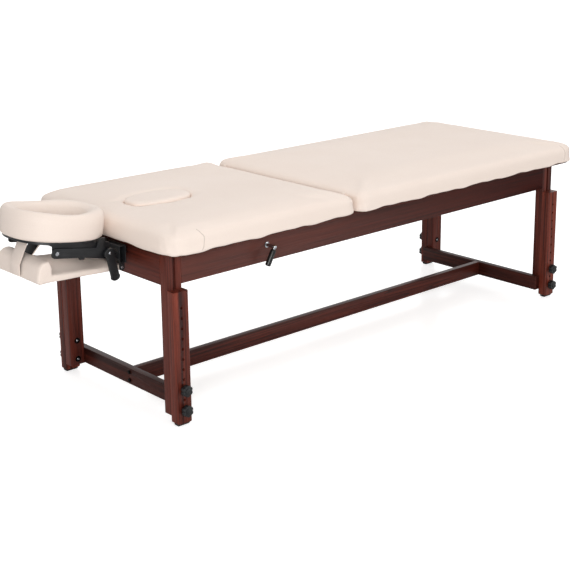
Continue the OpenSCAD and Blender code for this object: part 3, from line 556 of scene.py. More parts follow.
def wood(name, grain, wear, turn, offset, dark, middle, light, streaks, figure, gloss, worn=0.55, fade=None):
    """Stained wood. turn brings the board's long axis to the grain's X. fade paints light and shade along the table: a
    greyish painted sheen at its start and a darker, deeper red of painted shade towards its end.
    """
    material, tree, shader = new_material(name)
    place = here(tree)
    turned = add_node(tree, "Mapping", Vector=place, Rotation=turn, Location=offset).outputs[0]
    made = place_group(
        tree, grain, Vector=turned, Dark=dark, Middle=middle, Light=light, Streaks=streaks, Figure=figure, Gloss=gloss)
    mask = place_group(tree, wear, Amount=worn)["Mask"]
    colour, rough = mix(tree, mask, made["Color"], light), made["Roughness"]
    if fade:
        # Painted light and shade along X: a greyish painted sheen towards the head and a darker red painted shade
        # towards the foot.
        share = along_table(tree, place, *fade)
        colour = mix(tree, share, mix(tree, 0.4, colour, (0.155, 0.078, 0.068, 1)),
                     mix(tree, 1.0, colour, (0.4, 0.2, 0.14, 1), "MULTIPLY"))
        rough = plus(tree, rough, times(tree, share, 0.2))
    surface(tree, shader, colour, rough, made["Height"], 0.25, 0.0004, 0.1 if fade else 0.2)
    return material


def leatherette(name, group, colour, creases):
    """The cover of the padded pieces."""
    material, tree, shader = new_material(name)
    made = place_group(tree, group, Color=colour, Creases=creases)
    surface(tree, shader, made["Color"], made["Roughness"], made["Height"], 0.35, 0.0006, 0.35)
    shader.inputs["Sheen Weight"].default_value = 0.06
    shader.inputs["Sheen Roughness"].default_value = 0.5
    return material


def coated(name, group, wear, colour, scale, gloss, worn_colour, worn):
    """Powder-coated metal or moulded plastic."""
    material, tree, shader = new_material(name)
    made = place_group(tree, group, Color=colour, Scale=scale, Gloss=gloss)
    mask = place_group(tree, wear, Amount=worn)["Mask"]
    surface(tree, shader, mix(tree, mask, made["Color"], worn_colour), made["Roughness"], made["Height"], 0.2, 0.0002,
            0.36)
    return material


def bare_metal(name, group, colour, gloss, streaks, strength):
    """Plated or polished metal with fine turning and wiping marks."""
    material, tree, shader = new_material(name)
    lines = noise(tree, here(tree), streaks, 4.0, 0.6)
    made = place_group(tree, group, Color=colour, Scale=400.0, Gloss=gloss)
    surface(tree, shader, mix(tree, between(tree, lines, 0.3, 0.7, 0.0, 0.25), colour, scaled(colour, 0.62)),
            plus(tree, made["Roughness"], between(tree, lines, 0.3, 0.7, -0.03, 0.06)), lines, strength, 0.0001)
    shader.inputs["Metallic"].default_value = 1.0
    return material


def scaled(colour, red, green=None, blue=None):
    """A colour with its channels multiplied, all by red where only that is given."""
    return tuple(k * c for k, c in zip((red, green or red, blue or red), colour)) + (1.0,)


def make_materials():
    """Every finish of the table, by name."""
    settings = bpy.context.scene
    stain, cover, black = settings.table_wood, tuple(settings.table_cover.colour), settings.table_fittings.black
    grain, wear, hide, speckle = wood_group(), wear_group(), hide_group(), speckle_group()
    along_x, along_y, along_z = (0, 0, 0), (0, 0, radians(90)), (0, radians(90), 0)
    dark, middle, light, black = tuple(stain.dark), tuple(stain.middle), tuple(stain.light), tuple(black)
    # deep, 0.36 of the middle colour, is the crossbars' copy of the stain, darkened as painted shade under the table.
    deep, warm = scaled(middle, 0.36), scaled(light, 1.7, 1.5, 1.4)
    ply = linear(138, 104, 70), linear(176, 139, 98), linear(198, 163, 120), 0.5, 0.25, 0.55, 0.2
    # Each member's strength of the one stain is painted light and shade: darker for the stretcher (0.85) and the
    # crossbars, lighter for the posts (1.2) and legs (1.25).
    woods = {
        # The apron's last value is its fade: painted sheen at the head end and painted shade at the foot end.
        "apron": ("Apron wood", along_x, (3.1, 0.4, 0.2), dark, middle, light, 0.15, 0.10, 0.24, 0.3, (-0.3, 1.0)),
        "stretcher": ("Stretcher wood", along_x, (1.7, 2.3, 0.9), dark, scaled(middle, 0.85), light, 0.2, 1.0, 0.34),
        "cross": ("Cross wood", along_y, (0.6, 1.1, 2.2), dark, deep, light, 0.25, 0.3, 0.4),
        "rail_end": ("End wood", along_y, (2.6, 0.3, 1.2), dark, middle, light, 0.25, 0.2, 0.38),
        "post": ("Post wood", along_z, (0.2, 0.7, 1.9), dark, scaled(middle, 1.2), light, 0.4, 0.2, 0.36),
        "leg": ("Leg wood", along_z, (5.2, 3.3, 0.5), dark, scaled(middle, 1.25), warm, 0.7, 0.3, 0.36, 0.9),
        "board": ("Plywood", along_x, (0.3, 0.3, 0.3), *ply),
        "rail": ("Rail wood", along_y, (0.9, 0.1, 0.7), *ply),
    }
    # The seam's colour, 0.8 of the cover's, is painted shade along its crease.
    covers = {"cover": ("Cover", cover, 0.5), "seam": ("Seam", scaled(cover, 0.8), 0.2),
              "lining": ("Lining", tuple(settings.table_cover.lining), 0.2)}
    coats = {
        "painted": ("Pale paint", cover, 900.0, 0.45, linear(190, 178, 168), 0.3),
        "coat": ("Powder coat", black, 900.0, 0.34, linear(70, 71, 73), 0.35),
        "plastic": ("Black plastic", black, 1500.0, 0.42, linear(62, 62, 64), 0.3),
        "grip": ("Glossy plastic", linear(9, 9, 10), 1500.0, 0.2, linear(60, 60, 62), 0.3),
        "rubber": ("Rubber", linear(26, 25, 24), 800.0, 0.7, linear(60, 58, 55), 0.3),
    }
    metals = {
        "steel": ("Zinc-plated steel", linear(186, 188, 192), 0.30, (40, 40, 900), 0.1),
        "blued": ("Blued steel", linear(20, 18, 18), 0.45, (40, 40, 900), 0.1),
        "chrome": ("Chrome", linear(168, 170, 174), 0.14, (300, 300, 300), 0.02),
    }
    made = {}
    for maker, groups, finishes in ((wood, (grain, wear), woods), (leatherette, (hide,), covers),
                                    (coated, (speckle, wear), coats), (bare_metal, (speckle,), metals)):
        for key, (name, *values) in finishes.items():
            made[key] = maker(name, *groups, *values)
    return made


M = {}


# ---- Wood and metal ----


class TABLE_OT_woodwork(bpy.types.Operator):
    """Makes the aprons, posts, crossbars, stretcher and leg extensions with rounded, rubbed edges"""

    bl_idname = "table.woodwork"
    bl_label = "Make the woodwork"

    def execute(self, context):
        stain = context.scene.table_wood
        boards = {"apron": ("near_apron", "far_apron"), "rail_end": ("head_apron", "foot_apron"),
                  "cross": ("head_crossbar", "foot_crossbar"), "stretcher": ("stretcher",),
                  "post": [leg + "_post" for leg in LEGS], "leg": [leg + "_leg" for leg in LEGS]}
        for finish, nodes in boards.items():
            for node in nodes:
                softened(node, "dark_wood", M[finish], stain.edge, stain.bevel_steps)
        return {"FINISHED"}


def breath_hole(wider):
    """Middle and half sizes of the breath hole."""
    low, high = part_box("breath_plug")
    return (low.x + high.x) / 2, (high.x - low.x) / 2 + wider, high.y + wider


def cut_hole(obj, hole, low, high):
    """Cuts the breath hole through a board or a pad."""
    over = 0.02
    cutter = ring_solid("hole_cutter", [oval_ring(*hole, z) for z in (low - over, high + over)])
    apply_modifier(obj, "BOOLEAN", operation="DIFFERENCE", object=cutter, solver="EXACT")
    remove(cutter)


def pad_board(node, radii, hole=None):
    """The board under a pad, with the pad's corners, a little inside the pad's skirt, and with sides in the crossbars'
    dark wood as painted shade under the pad's rim.
    """
    low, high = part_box(node)
    obj = ring_solid(node + "_shape", [corner_ring(low.x + BOARD_PLAY, high.x - BOARD_PLAY, high.y - BOARD_PLAY,
                     [r - BOARD_INSET for r in radii], 0, z) for z in (low.z, high.z)])
    if hole:
        cut_hole(obj, hole, low.z, high.z)
    mark_slots(obj)
    edit(obj)
    round_edges(60, 0.001, 2, material=1)
    settle(obj, node, "inner_wood", M["board"], M["cross"])
    # The sides take the second, dark material: painted shade.
    for polygon in obj.data.polygons:
        polygon.material_index = int(abs(polygon.normal.z) < 0.7)


class TABLE_OT_undersides(bpy.types.Operator):
    """Makes the plywood boards and the rails under the pads"""

    bl_idname = "table.undersides"
    bl_label = "Make the boards and rails"

    def execute(self, context):
        pad_board("foot_board", (GAP_CORNER, PAD_CORNER))
        pad_board("back_board", (PAD_CORNER, GAP_CORNER), breath_hole(0.002))
        for node in ("back_rail", "seat_rail", "foot_rail"):
            softened(node, "inner_wood", M["rail"], 0.0015, 2)
        return {"FINISHED"}


def lean_plate(corners):
    """Slopes the face rest's plate under its cushion, and draws it out to the cushion's length."""
    rim, under, ear, tie = 0.0075, 0.0125, 0.02, 0.0002
    plate = max(v.co.z for v in corners)
    ears = [v.co.x for v in corners if v.co.z < plate - ear]
    ends = min(ears), max(ears)
    low, high = min(v.co.x for v in corners), max(v.co.x for v in corners)
    for v in corners:
        if v.co.z > plate - rim and min(abs(v.co.x - x) for x in ends) > tie:
            v.co.x = RING_X + (v.co.x - (high + low) / 2) * (RING_HALF_X - BOARD_INSET) / ((high - low) / 2)
    for v in corners:
        if v.co.z > plate - under:
            v.co.z += RING_Z - plate - (v.co.x - RING_X) * tan(RING_LEAN)


class TABLE_OT_metalwork(bpy.types.Operator):
    """Makes the hinges, spring, brackets, rods, arms, platform and small fasteners"""

    bl_idname = "table.metalwork"
    bl_label = "Make the metalwork"

    def execute(self, context):
        groups = {
            ("steel", "steel"): ("spring_bracket", "spring_clevis", "spring_rod", "face_rods", "shelf_bar"),
            ("steel", "blued"): ("stretcher_bolts", "post_nuts"),
            ("steel", "painted"): ("fixed_hinge_plates", "moving_hinge_plates", "hinge_pins"),
            ("chrome", "chrome"): ("release_shaft", "pivot_rivets"),
            ("black_metal", "coat"): ("spring_tube", "rod_sockets", "rod_collars", "face_carriage", "side_arms",
                                      "face_platform"),
            ("black_plastic", "plastic"): ("shaft_block",),
            ("foot_rubber", "rubber"): [leg + "_pad" for leg in LEGS],
        }
        for (slot, finish), nodes in groups.items():
            for node in nodes:
                softened(node, slot, M[finish], context.scene.table_fittings.plate_edge, 2,
                         shape=lean_plate if node == "face_platform" else None)
        return {"FINISHED"}


def lathed(name, sides, radius, depth, middle, width, steps, shape=None):
    """A cylinder along Z with rounded rims. shape, where given, works on it before its rims are rounded."""
    obj = fresh(
        name, bpy.ops.mesh.primitive_cylinder_add, vertices=sides, radius=radius, depth=depth, location=(0, 0, middle))
    if shape:
        shape(obj)
    edit(obj)
    pick(obj, "EDGE", lambda e: abs(e.verts[0].co.z - e.verts[1].co.z) < 1e-6 and e.calc_face_angle(0) > 1.0)
    bpy.ops.mesh.bevel(offset=width, segments=steps, clamp_overlap=shape is not None)
    return done(obj)


def star_knob(radius, lobes):
    """A knob with round lobes, a hub behind it and a cap in front, facing +Z with its cap's face at 0."""
    def lobed(obj):
        valley, blunt = 0.80, 0.7
        points = coordinates(obj)
        lobe = abs(np.cos(np.arctan2(points[:, 0], points[:, 1]) * lobes / 2)) ** blunt
        points[:, :2] *= (valley + (1 - valley) * lobe)[:, None]
        set_coordinates(obj, points)

    sunk = 0.001
    star = lathed("star_knob", 12 * lobes, radius, KNOB_THICK, -KNOB_CAP - KNOB_THICK / 2, 0.0022, 4, lobed)
    cap = lathed("knob_cap", 32, radius * 0.52, 2 * KNOB_CAP, -KNOB_CAP, 0.0008, 2)
    hub = lathed("knob_hub", 32, 0.009, KNOB_HUB + 2 * sunk, -KNOB_CAP - KNOB_THICK - KNOB_HUB / 2 + sunk, 0.0012, 2)
    alone(star, cap, hub)
    bpy.ops.object.join()
    return star


def knob_bolt(name, length, start):
    """The knob's bolt, with a chamfered end, behind its hub."""
    obj = fresh(name, bpy.ops.mesh.primitive_cylinder_add, vertices=24, radius=0.0039, depth=length,
                location=(0, 0, -start - length / 2))
    edit(obj)
    pick(obj, "FACE", lambda f: f.normal.z < -0.99)
    bpy.ops.mesh.bevel(offset=0.0012, segments=1)
    return done(obj)


class TABLE_OT_knobs(bpy.types.Operator):
    """Models one star knob with its bolt and sets eight of them on the legs"""

    bl_idname = "table.knobs"
    bl_label = "Make the star knobs"

    def execute(self, context):
        fittings = context.scene.table_fittings
        star = star_knob(fittings.knob_radius, fittings.knob_lobes)
        start = KNOB_CAP + KNOB_THICK + 0.001
        for node in (f"{leg}_{level}_knob" for leg in LEGS for level in ("upper", "lower")):
            low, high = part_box(node)
            outer, turn = (low.y, 90) if "near" in node else (high.y, -90)
            place = Vector(((low.x + high.x) / 2, outer, (low.z + high.z) / 2))
            lay = Matrix.Translation(place) @ Matrix.Rotation(radians(turn), 4, "X")
            knob = copy_of(star, node + "_star")
            finish_piece(knob, body_of(node), "black_plastic", M["plastic"])
            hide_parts(node)
            bolt = knob_bolt(node + "_bolt", high.y - low.y - start, start)
            finish_piece(bolt, body_of(node), "steel", M["steel"])
            for piece in (knob, bolt):
                piece.data.transform(lay)
                smooth(piece, 40)
        remove(star)
        return {"FINISHED"}


class TABLE_OT_release(bpy.types.Operator):
    """Makes the hanging grip of the back's release, with a rounded body"""

    bl_idname = "table.release"
    bl_label = "Make the release grip"

    def execute(self, context):
        grip = opened("release_grip", "release_grip_shape", 1)
        round_edges(40, 0.0018, 4)
        smooth(grip, 40)
        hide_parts("release_grip")
        finish_piece(grip, "release", "black_plastic", M["grip"])
        return {"FINISHED"}


def widen_lever(corners):
    """Broadens the lever's blade about the line from its bolt to its tip."""
    blade, wider, bolt = 0.010, 1.4, Vector(LEVER_BOLT)
    outer = min(v.co.y for v in corners)
    tip = min(corners, key=lambda v: v.co.z)
    along = (tip.co.xz - bolt).normalized()
    across = Vector((-along.y, along.x))
    for v in corners:
        if v.co.y < outer + blade:
            away = v.co.xz - bolt
            v.co.x, v.co.z = bolt + along * away.dot(along) + across * away.dot(across) * wider


class TABLE_OT_clamp_lever(bpy.types.Operator):
    """Makes the clamp lever of the face rest, with a bolt head in its boss"""

    bl_idname = "table.clamp_lever"
    bl_label = "Make the clamp lever"

    def execute(self, context):
        softened("clamp_lever", "black_metal", M["coat"], 0.0012, name="clamp_lever_body", shape=widen_lever)
        head = fresh("clamp_lever_bolt_head", bpy.ops.mesh.primitive_uv_sphere_add, segments=32, ring_count=16,
                     radius=0.0045, location=(LEVER_BOLT[0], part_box("clamp_lever")[0].y, LEVER_BOLT[1]),
                     scale=(1, 0.5, 1))
        smooth(head, 60)
        finish_piece(head, "lever", "chrome", M["chrome"])
        return {"FINISHED"}


# ---- Padded pieces ----


def corner_ring(x0, x1, half_y, radii, inset, z, steps=10):
    """Points of a rectangle drawn in by inset, with a corner radius for each end, at one height."""
    points = []
    for sx, sy, start in ((1, 1, 0), (-1, 1, 90), (-1, -1, 180), (1, -1, 270)):
        r = max((radii[1] if sx > 0 else radii[0]) - inset, 0.006)
        cx = (x1 if sx > 0 else x0) - sx * (inset + r)
        cy = sy * (half_y - inset - r)
        for k in range(steps + 1):
            t = radians(start + 90 * k / steps)
            points.append((cx + r * cos(t), cy + r * sin(t), z))
    return points


def ring_solid(name, rings):
    """A closed solid through rings of equal count, from the lowest to the highest."""
    count = len(rings[0])
    faces = [[k * count + i, k * count + (i + 1) % count, (k + 1) * count + (i + 1) % count, (k + 1) * count + i]
             for k in range(len(rings) - 1) for i in range(count)]
    faces.append(list(range(count))[::-1])
    faces.append([(len(rings) - 1) * count + i for i in range(count)])
    return from_points(name, [p for ring in rings for p in ring], faces)


def oval_ring(cx, half_x, half_y, z, share=0.8, count=64):
    """Points of a squarish oval at one height."""
    points = []
    for k in range(count):
        c, s = cos(2 * pi * k / count), sin(2 * pi * k / count)
        points.append((cx + half_x * copysign(abs(c) ** share, c), half_y * copysign(abs(s) ** share, s), z))
    return points


def voxels(obj, size):
    """Remeshes a closed form into even faces."""
    apply_modifier(obj, "REMESH", mode="VOXEL", voxel_size=size, use_smooth_shade=True)


def swell(obj, held, limit):
    """Fills a pad by cloth pressure and smooths it. The held points stay, and none moves farther than limit."""
    cover = bpy.context.scene.table_cover
    before = coordinates(obj)
    group = obj.vertex_groups.new(name="held")
    group.add([int(i) for i in np.flatnonzero(held)], 1.0, "REPLACE")
    cloth = obj.modifiers.new("swell", "CLOTH")
    cloth.settings.use_pressure = True
    cloth.settings.uniform_pressure_force = cover.pressure
    cloth.settings.vertex_group_mass = "held"
    cloth.settings.effector_weights.gravity = 0
    cloth.settings.quality = 4
    cloth.collision_settings.use_collision = False
    cloth.point_cache.frame_start, cloth.point_cache.frame_end = 1, cover.steps
    for step in range(1, cover.steps + 1):
        bpy.context.scene.frame_set(step)
    alone(obj)
    bpy.ops.object.modifier_apply(modifier=cloth.name)
    bpy.context.scene.frame_set(1)
    obj.vertex_groups.clear()
    moved = coordinates(obj) - before
    length = np.maximum(np.linalg.norm(moved, axis=1, keepdims=True), 1e-9)
    set_coordinates(obj, before + moved / length * limit * np.tanh(length / limit))
    apply_modifier(obj, "SUBSURF", levels=1, render_levels=1)


def upholster(obj, body, node):
    """Covers a finished pad and puts it in its node's place."""
    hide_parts(node)
    finish_piece(obj, body, "upholstery", M["cover"])


def seam(name, pad, path, width):
    """A sewn seam on a pad's surface: two low welts with a crease between them, along a path."""
    tree = BVHTree.FromPolygons([v.co for v in pad.data.vertices], [p.vertices for p in pad.data.polygons])
    spots = [tree.find_nearest(Vector(point))[:2] for point in path]
    profile = ((-1.0, -0.25), (-0.62, 0.16), (-0.3, 0.2), (0.0, -0.22), (0.3, 0.2), (0.62, 0.16), (1.0, -0.25))
    wide, vertices = len(profile), []
    for k, (place, normal) in enumerate(spots):
        ahead = spots[min(k + 1, len(spots) - 1)][0] - spots[max(k - 1, 0)][0]
        across = ahead.cross(normal).normalized()
        vertices += [place + (across * a + normal * b) * width / 2 for a, b in profile]
    faces = [(k * wide + i, k * wide + i + 1, (k + 1) * wide + i + 1, (k + 1) * wide + i)
             for k in range(len(spots) - 1) for i in range(wide - 1)]
    obj = from_points(name, vertices, faces)
    apply_modifier(obj, "SOLIDIFY", thickness=0.0006, offset=0)
    edit(obj)
    bpy.ops.mesh.select_all(action="SELECT")
    bpy.ops.mesh.normals_make_consistent(inside=False)
    done(obj)
    smooth(obj, 60)
    return obj


def long_pad(name, node, board, body, radii, hole=None):
    """A long pad with crowned top, rounded edges and pulled-in lower edge over its board."""
    cover = bpy.context.scene.table_cover
    low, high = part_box(node)
    board_low, board_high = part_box(board)
    bottom, top = low.z, high.z
    drawn, skirt, crown, round_in, round_up, crown_in = 0.0035, 0.009, 0.009, 0.034, 0.020, 0.12
    edge = top - crown
    levels = [(0.002, bottom), (0.0, bottom + skirt), (0.0, edge - round_up - 0.004)]
    levels += [(round_in * (1 - cos(radians(a))), edge - round_up + round_up * sin(radians(a)))
               for a in (15, 30, 45, 60, 75, 90)]
    levels += [(round_in + crown_in * s, edge + crown * s ** 0.75) for s in (0.2, 0.45, 0.7, 1.0)]
    pad = ring_solid(name, [corner_ring(low.x + drawn, high.x - drawn, high.y - drawn, radii, inset,
                                        z - (drawn if z > edge - round_up else 0)) for inset, z in levels])
    if hole:
        cut_hole(pad, hole, bottom, top)
    voxels(pad, cover.long_voxel)
    x, y, z = coordinates(pad).T
    held = z < bottom + 0.008
    if hole:
        wall, near, lip = 0.006, 1.15, 0.012
        inside = ((x - hole[0]) / (hole[1] + wall)) ** 2 + (y / (hole[2] + wall)) ** 2 < near
        held |= inside & (z < top - lip)
    swell(pad, held, cover.swell)
    points = coordinates(pad)
    x, y, z = points.T
    seat_on_board(x, y, z, board_low, board_high, radii)
    np.maximum(z, bottom, out=z)
    ripple(x, y, z, low, high)
    roll_gap(x, z, low, high, radii[0] < radii[1])
    set_coordinates(pad, points)
    upholster(pad, body, node)
    return pad


def seat_on_board(x, y, z, low, high, radii):
    """Raises a pad's underside over its board, inside a skirt round the board's sides."""
    skirt, clear = 0.008, 0.0003
    middle, half = (low.x + high.x) / 2, (high.x - low.x) / 2
    corner = np.where(x > middle, radii[1], radii[0]) - BOARD_INSET
    past_x, past_y = abs(x - middle) - half + corner, abs(y) - high.y + corner
    within = corner - np.hypot(np.maximum(past_x, 0), np.maximum(past_y, 0)) - np.minimum(np.maximum(past_x, past_y), 0)
    z[(within > skirt) & (z < high.z + clear)] = high.z + clear


def ripple(x, y, z, low, high):
    """Lets a pad's lower edge wave a little, as a cover stapled under its board does."""
    rise, base, reach, rim, fade = 0.0032, 0.8, 0.03, 0.026, 0.008
    along = 2 * pi * (x + y * 0.7)
    depth = np.minimum.reduce([x - low.x, high.x - x, y - low.y, high.y - y])
    share = np.clip(1 - (z - low.z) / reach, 0, 1) * np.clip((rim - depth) / fade, 0, 1)
    wave = sum(np.sin(along / length + lead) * part
               for length, lead, part in ((0.231, 0, 0.5), (0.117, 0.7, 0.35), (0.071, 1.3, 0.2)))
    z += share * rise * (wave + base)


def roll_gap(x, z, low, high, starts):
    """Rolls a pad's top edge down towards the gap, which is at its start or its end."""
    gap, deep, wide = (low.x, 0.009, 0.045) if starts else (high.x, 0.017, 0.085)
    roll = np.clip(1 - abs(x - gap) / wide, 0, 1) ** 2
    z -= deep * roll * np.clip((z - (low.z + high.z) / 2) / ((high.z - low.z) / 2), 0, 1)


def small_pad(name, node, body, held_below, limit, voxel):
    """A pad swollen from its CAD solid, for the small cushions."""
    pad = done(opened(node, name))
    voxels(pad, voxel)
    swell(pad, coordinates(pad)[:, 2] < held_below, limit)
    upholster(pad, body, node)
    return pad


class TABLE_OT_long_pads(bpy.types.Operator):
    """Makes the back and foot pads, swollen by pressure, with their corner seams"""

    bl_idname = "table.long_pads"
    bl_label = "Make the long pads"

    def execute(self, context):
        back = long_pad("back_pad", "back_cushion", "back_board", "back", (PAD_CORNER, GAP_CORNER), breath_hole(0.001))
        foot = long_pad("foot_pad", "foot_cushion", "foot_board", "frame", (GAP_CORNER, PAD_CORNER))
        low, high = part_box("back_cushion")
        steps, turn_in = 24, 0.8
        seams = [(back, "back", low.x + 0.113, 0.012, side) for side in (-1, 1)]
        seams += [(foot, "frame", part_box("foot_cushion")[1].x - 0.088, 0.006, side) for side in (-1, 1)]
        for k, (pad, body, x, bend, side) in enumerate(seams):
            path = []
            for s in (i / steps for i in range(steps + 1)):
                z = low.z + 0.004 + (high.z - low.z - 0.016) * min(s / turn_in, 1)
                y = side * (PAD_HALF + 0.02 - max(s - turn_in, 0) * 0.25)
                path.append((x + bend * sin(pi * s), y, z))
            strip = seam(f"corner_seam_{k + 1}", pad, path, context.scene.table_cover.seam)
            finish_piece(strip, body, "upholstery", M["seam"])
        return {"FINISHED"}


class TABLE_OT_breath_plug(bpy.types.Operator):
    """Makes the padded plug of the breath hole"""

    bl_idname = "table.breath_plug"
    bl_label = "Make the breath plug"

    def execute(self, context):
        small_pad("breath_plug_pad", "breath_plug", "plug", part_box("breath_plug")[0].z + 0.03, 0.0015, 0.004)
        return {"FINISHED"}


class TABLE_OT_face_cushion(bpy.types.Operator):
    """Makes the ring cushion of the face rest: swollen flat, then sloped with its outer end up"""

    bl_idname = "table.face_cushion"
    bl_label = "Make the face cushion"

    def execute(self, context):
        section = ((0.16, 0.0), (0.03, 0.07), (0.0, 0.3), (0.0, 0.66), (0.045, 0.84), (0.15, 0.95), (0.3, 0.985),
                   (0.52, 0.95), (0.75, 0.84), (0.9, 0.66), (0.97, 0.4), (0.95, 0.06), (0.84, 0.0))
        across, around = len(section), 96
        outer = oval_ring(RING_X, RING_HALF_X, RING_HALF_Y, 0, 0.826, around)
        inner = oval_ring(RING_X, RING_HOLE_X, RING_HOLE_Y, 0, 1.12, around)
        points = []
        for k, (a, b) in enumerate(zip(outer, inner)):
            dip = 1 - 0.07 * abs(sin(2 * pi * k / around)) ** 6
            points += [(a[0] + (b[0] - a[0]) * q, a[1] + (b[1] - a[1]) * q, RING_Z + RING_RISE * r * dip)
                       for q, r in section]
        pad = from_points("face_ring_pad", points, [
            (k * across + i, (k + 1) % around * across + i, (k + 1) % around * across + (i + 1) % across,
             k * across + (i + 1) % across) for k in range(around) for i in range(across)])
        voxels(pad, context.scene.table_cover.small_voxel)
        swell(pad, coordinates(pad)[:, 2] < RING_Z + 0.005, 0.004)
        pivot = Matrix.Translation((RING_X, 0, RING_Z))
        pad.data.transform(pivot @ Matrix.Rotation(RING_LEAN, 4, "Y") @ pivot.inverted())
        upholster(pad, "face_rest", "face_cushion")
        return {"FINISHED"}


def lift_strap(corners):
    """Brings the strap's top up to the sloped plate."""
    plate, end = 0.0078, 0.006
    top = max(v.co.z for v in corners)
    for v in corners:
        if v.co.z > top - end:
            v.co.z += RING_Z - plate - top - (v.co.x - RING_X) * tan(RING_LEAN)


class TABLE_OT_arm_shelf(bpy.types.Operator):
    """Makes the hanging arm shelf and its strap"""

    bl_idname = "table.arm_shelf"
    bl_label = "Make the arm shelf"

    def execute(self, context):
        shelf = small_pad("arm_shelf_pad", "arm_shelf", "shelf", 0.0, 0.002, 0.0045)
        start, foot, long, tall, up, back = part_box("arm_shelf")[0].x + 0.034, 0.474, 0.022, 0.03, 0.022, 0.010
        points = coordinates(shelf)
        x, _, z = points.T
        roll = np.clip(1 - (x - start) / long, 0, 1) * np.clip((z - foot) / tall, 0, 1)
        z += up * roll
        x += back * roll
        set_coordinates(shelf, points)
        strap = softened("shelf_strap", "upholstery", M["cover"], 0.0006, 2, shape=lift_strap)
        # The inner faces take the near black lining: dark Velcro, with painted shade in its colour.
        strap.data.materials.append(M["lining"])
        low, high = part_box("shelf_strap")
        middle = Vector((low.x + 0.042, 0, high.z - 0.02))
        for face in strap.data.polygons:
            face.material_index = int(abs(face.normal.y) < 0.5 and face.normal.dot(middle - face.center) > 0)
        return {"FINISHED"}


# ---- Stage ----


def softbox(name, place, target, size, power):
    """A rectangular lamp that faces a target."""
    data = bpy.data.lights.new(name, "AREA")
    data.shape, data.size, data.size_y, data.energy = "RECTANGLE", size[0], size[1], power
    lamp = linked(name, data)
    lamp.location = place
    lamp.rotation_euler = (Vector(target) - Vector(place)).to_track_quat("-Z", "Y").to_euler()


def make_floor():
    """A pale floor that fades into white for the camera, keeps the shadow and is dark for reflections at the foot."""
    floor = fresh("floor", bpy.ops.mesh.primitive_circle_add, vertices=96, radius=40, fill_type="NGON",
                  location=(0, 0, CAD_BOX[0][2] - 0.0005))
    material, tree, shader = new_material("Floor")
    place = here(tree)
    pale = mix(tree, between(tree, noise(tree, place, 3.0), 0.3, 0.7), (0.84, 0.84, 0.84, 1), (0.86, 0.86, 0.86, 1))
    away = along_table(tree, place, 0.9, 2.4)
    camera = tree.nodes.new("ShaderNodeLightPath").outputs["Is Camera Ray"]
    feed(tree, shader.inputs, Base_Color=mix(tree, away, pale, (0.16, 0.15, 0.15, 1)), Roughness=0.22,
         Specular_IOR_Level=0.35, Emission_Color=(1, 1, 1, 1),
         Emission_Strength=times(tree, camera, between(tree, away, 0.0, 1.0, 0.66, 1.0)))
    floor.data.materials.append(material)


def make_camera(lens):
    """The camera at the photograph's viewing angle."""
    data = bpy.data.cameras.new("camera")
    data.sensor_width, data.sensor_fit, data.lens = 36.0, "HORIZONTAL", lens
    data.shift_x, data.shift_y = 0.009724, -0.12
    data.clip_end = 200
    camera = linked("camera", data)
    yaw, pitch, roll = (radians(a) for a in (-41.4966, 14.4964, -0.71307))
    ahead = Vector((-sin(yaw) * cos(pitch), cos(yaw) * cos(pitch), -sin(pitch)))
    level = Vector((cos(yaw), sin(yaw), 0))
    up = level.cross(ahead)
    right = cos(roll) * level + sin(roll) * up
    over = -sin(roll) * level + cos(roll) * up
    turn = Matrix((right, over, -ahead)).transposed().to_4x4()
    camera.matrix_world = Matrix.Translation((-2.805980, -3.080828, 1.524815)) @ turn
    bpy.context.scene.camera = camera


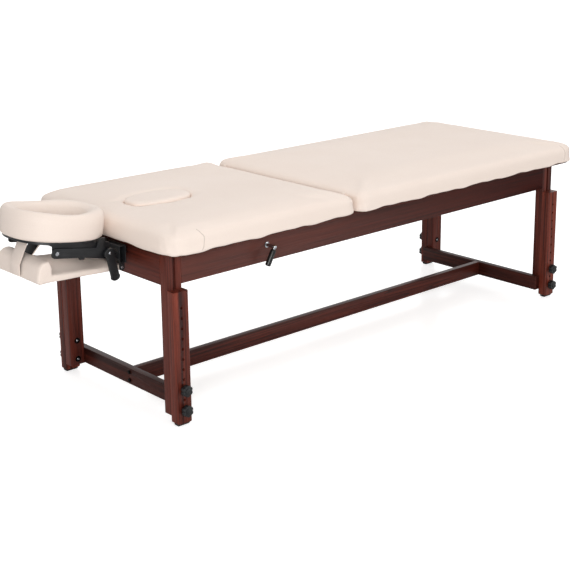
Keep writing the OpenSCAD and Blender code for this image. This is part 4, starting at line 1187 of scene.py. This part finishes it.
class TABLE_OT_stage(bpy.types.Operator):
    """Sets the floor, the soft lights, the world and the camera"""

    bl_idname = "table.stage"
    bl_label = "Set the stage"

    def execute(self, context):
        stage = context.scene.table_stage
        make_camera(stage.lens)
        make_floor()
        softbox("key", (-3.2, -3.3, 1.75), (0.1, -0.2, 0.5), (2.6, 1.8), stage.key)
        softbox("overhead", (0.4, 0.4, 3.4), (0.2, 0.0, 0.5), (4.0, 3.0), stage.overhead)
        softbox("side", (2.4, -3.4, 1.5), (0.0, -0.3, 0.4), (1.6, 2.2), stage.side)
        world = bpy.data.worlds.new("studio")
        world.use_nodes = True
        tree = world.node_tree
        path = tree.nodes.new("ShaderNodeLightPath").outputs
        seen = plus(tree, path["Is Camera Ray"], path["Is Glossy Ray"], path["Is Transmission Ray"])
        seen.node.use_clamp = True
        feed(tree, tree.nodes["Background"].inputs, Color=(1, 1, 1, 1),
             Strength=between(tree, seen, 0.0, 1.0, stage.fill, 1.0))
        context.scene.world = world
        context.scene.view_settings.view_transform = "Standard"
        return {"FINISHED"}


# ---- Panel and run ----


STEPS = (TABLE_OT_stage, TABLE_OT_woodwork, TABLE_OT_undersides, TABLE_OT_metalwork, TABLE_OT_knobs,
         TABLE_OT_release, TABLE_OT_clamp_lever, TABLE_OT_long_pads, TABLE_OT_breath_plug, TABLE_OT_face_cushion,
         TABLE_OT_arm_shelf)
GROUPS = {"table_wood": TABLE_PG_wood, "table_cover": TABLE_PG_cover, "table_fittings": TABLE_PG_fittings,
          "table_stage": TABLE_PG_stage}


class TABLE_PT_looks(bpy.types.Panel):
    """Lists the table's settings and the steps that make it"""

    bl_idname = "TABLE_PT_looks"
    bl_label = "Massage table"
    bl_space_type = "VIEW_3D"
    bl_region_type = "UI"
    bl_category = "Massage table"

    def draw(self, context):
        for key in GROUPS:
            box = self.layout.box()
            settings = getattr(context.scene, key)
            for name in settings.__annotations__:
                box.prop(settings, name)
        for step in STEPS:
            self.layout.operator(step.bl_idname)


def register():
    """Registers the settings, the operators and the panel."""
    for item in (*GROUPS.values(), *STEPS, TABLE_PT_looks):
        bpy.utils.register_class(item)
    for key, group in GROUPS.items():
        setattr(bpy.types.Scene, key, PointerProperty(type=group))


def unregister():
    """Takes back what register added."""
    for key in GROUPS:
        delattr(bpy.types.Scene, key)
    for item in (TABLE_PT_looks, *reversed(STEPS), *GROUPS.values()):
        bpy.utils.unregister_class(item)


def main():
    """Makes the whole scene."""
    register()
    M.update(make_materials())
    for step in STEPS:
        area, name = step.bl_idname.split(".")
        getattr(getattr(bpy.ops, area), name)()


if __name__ == "__main__":
    main()
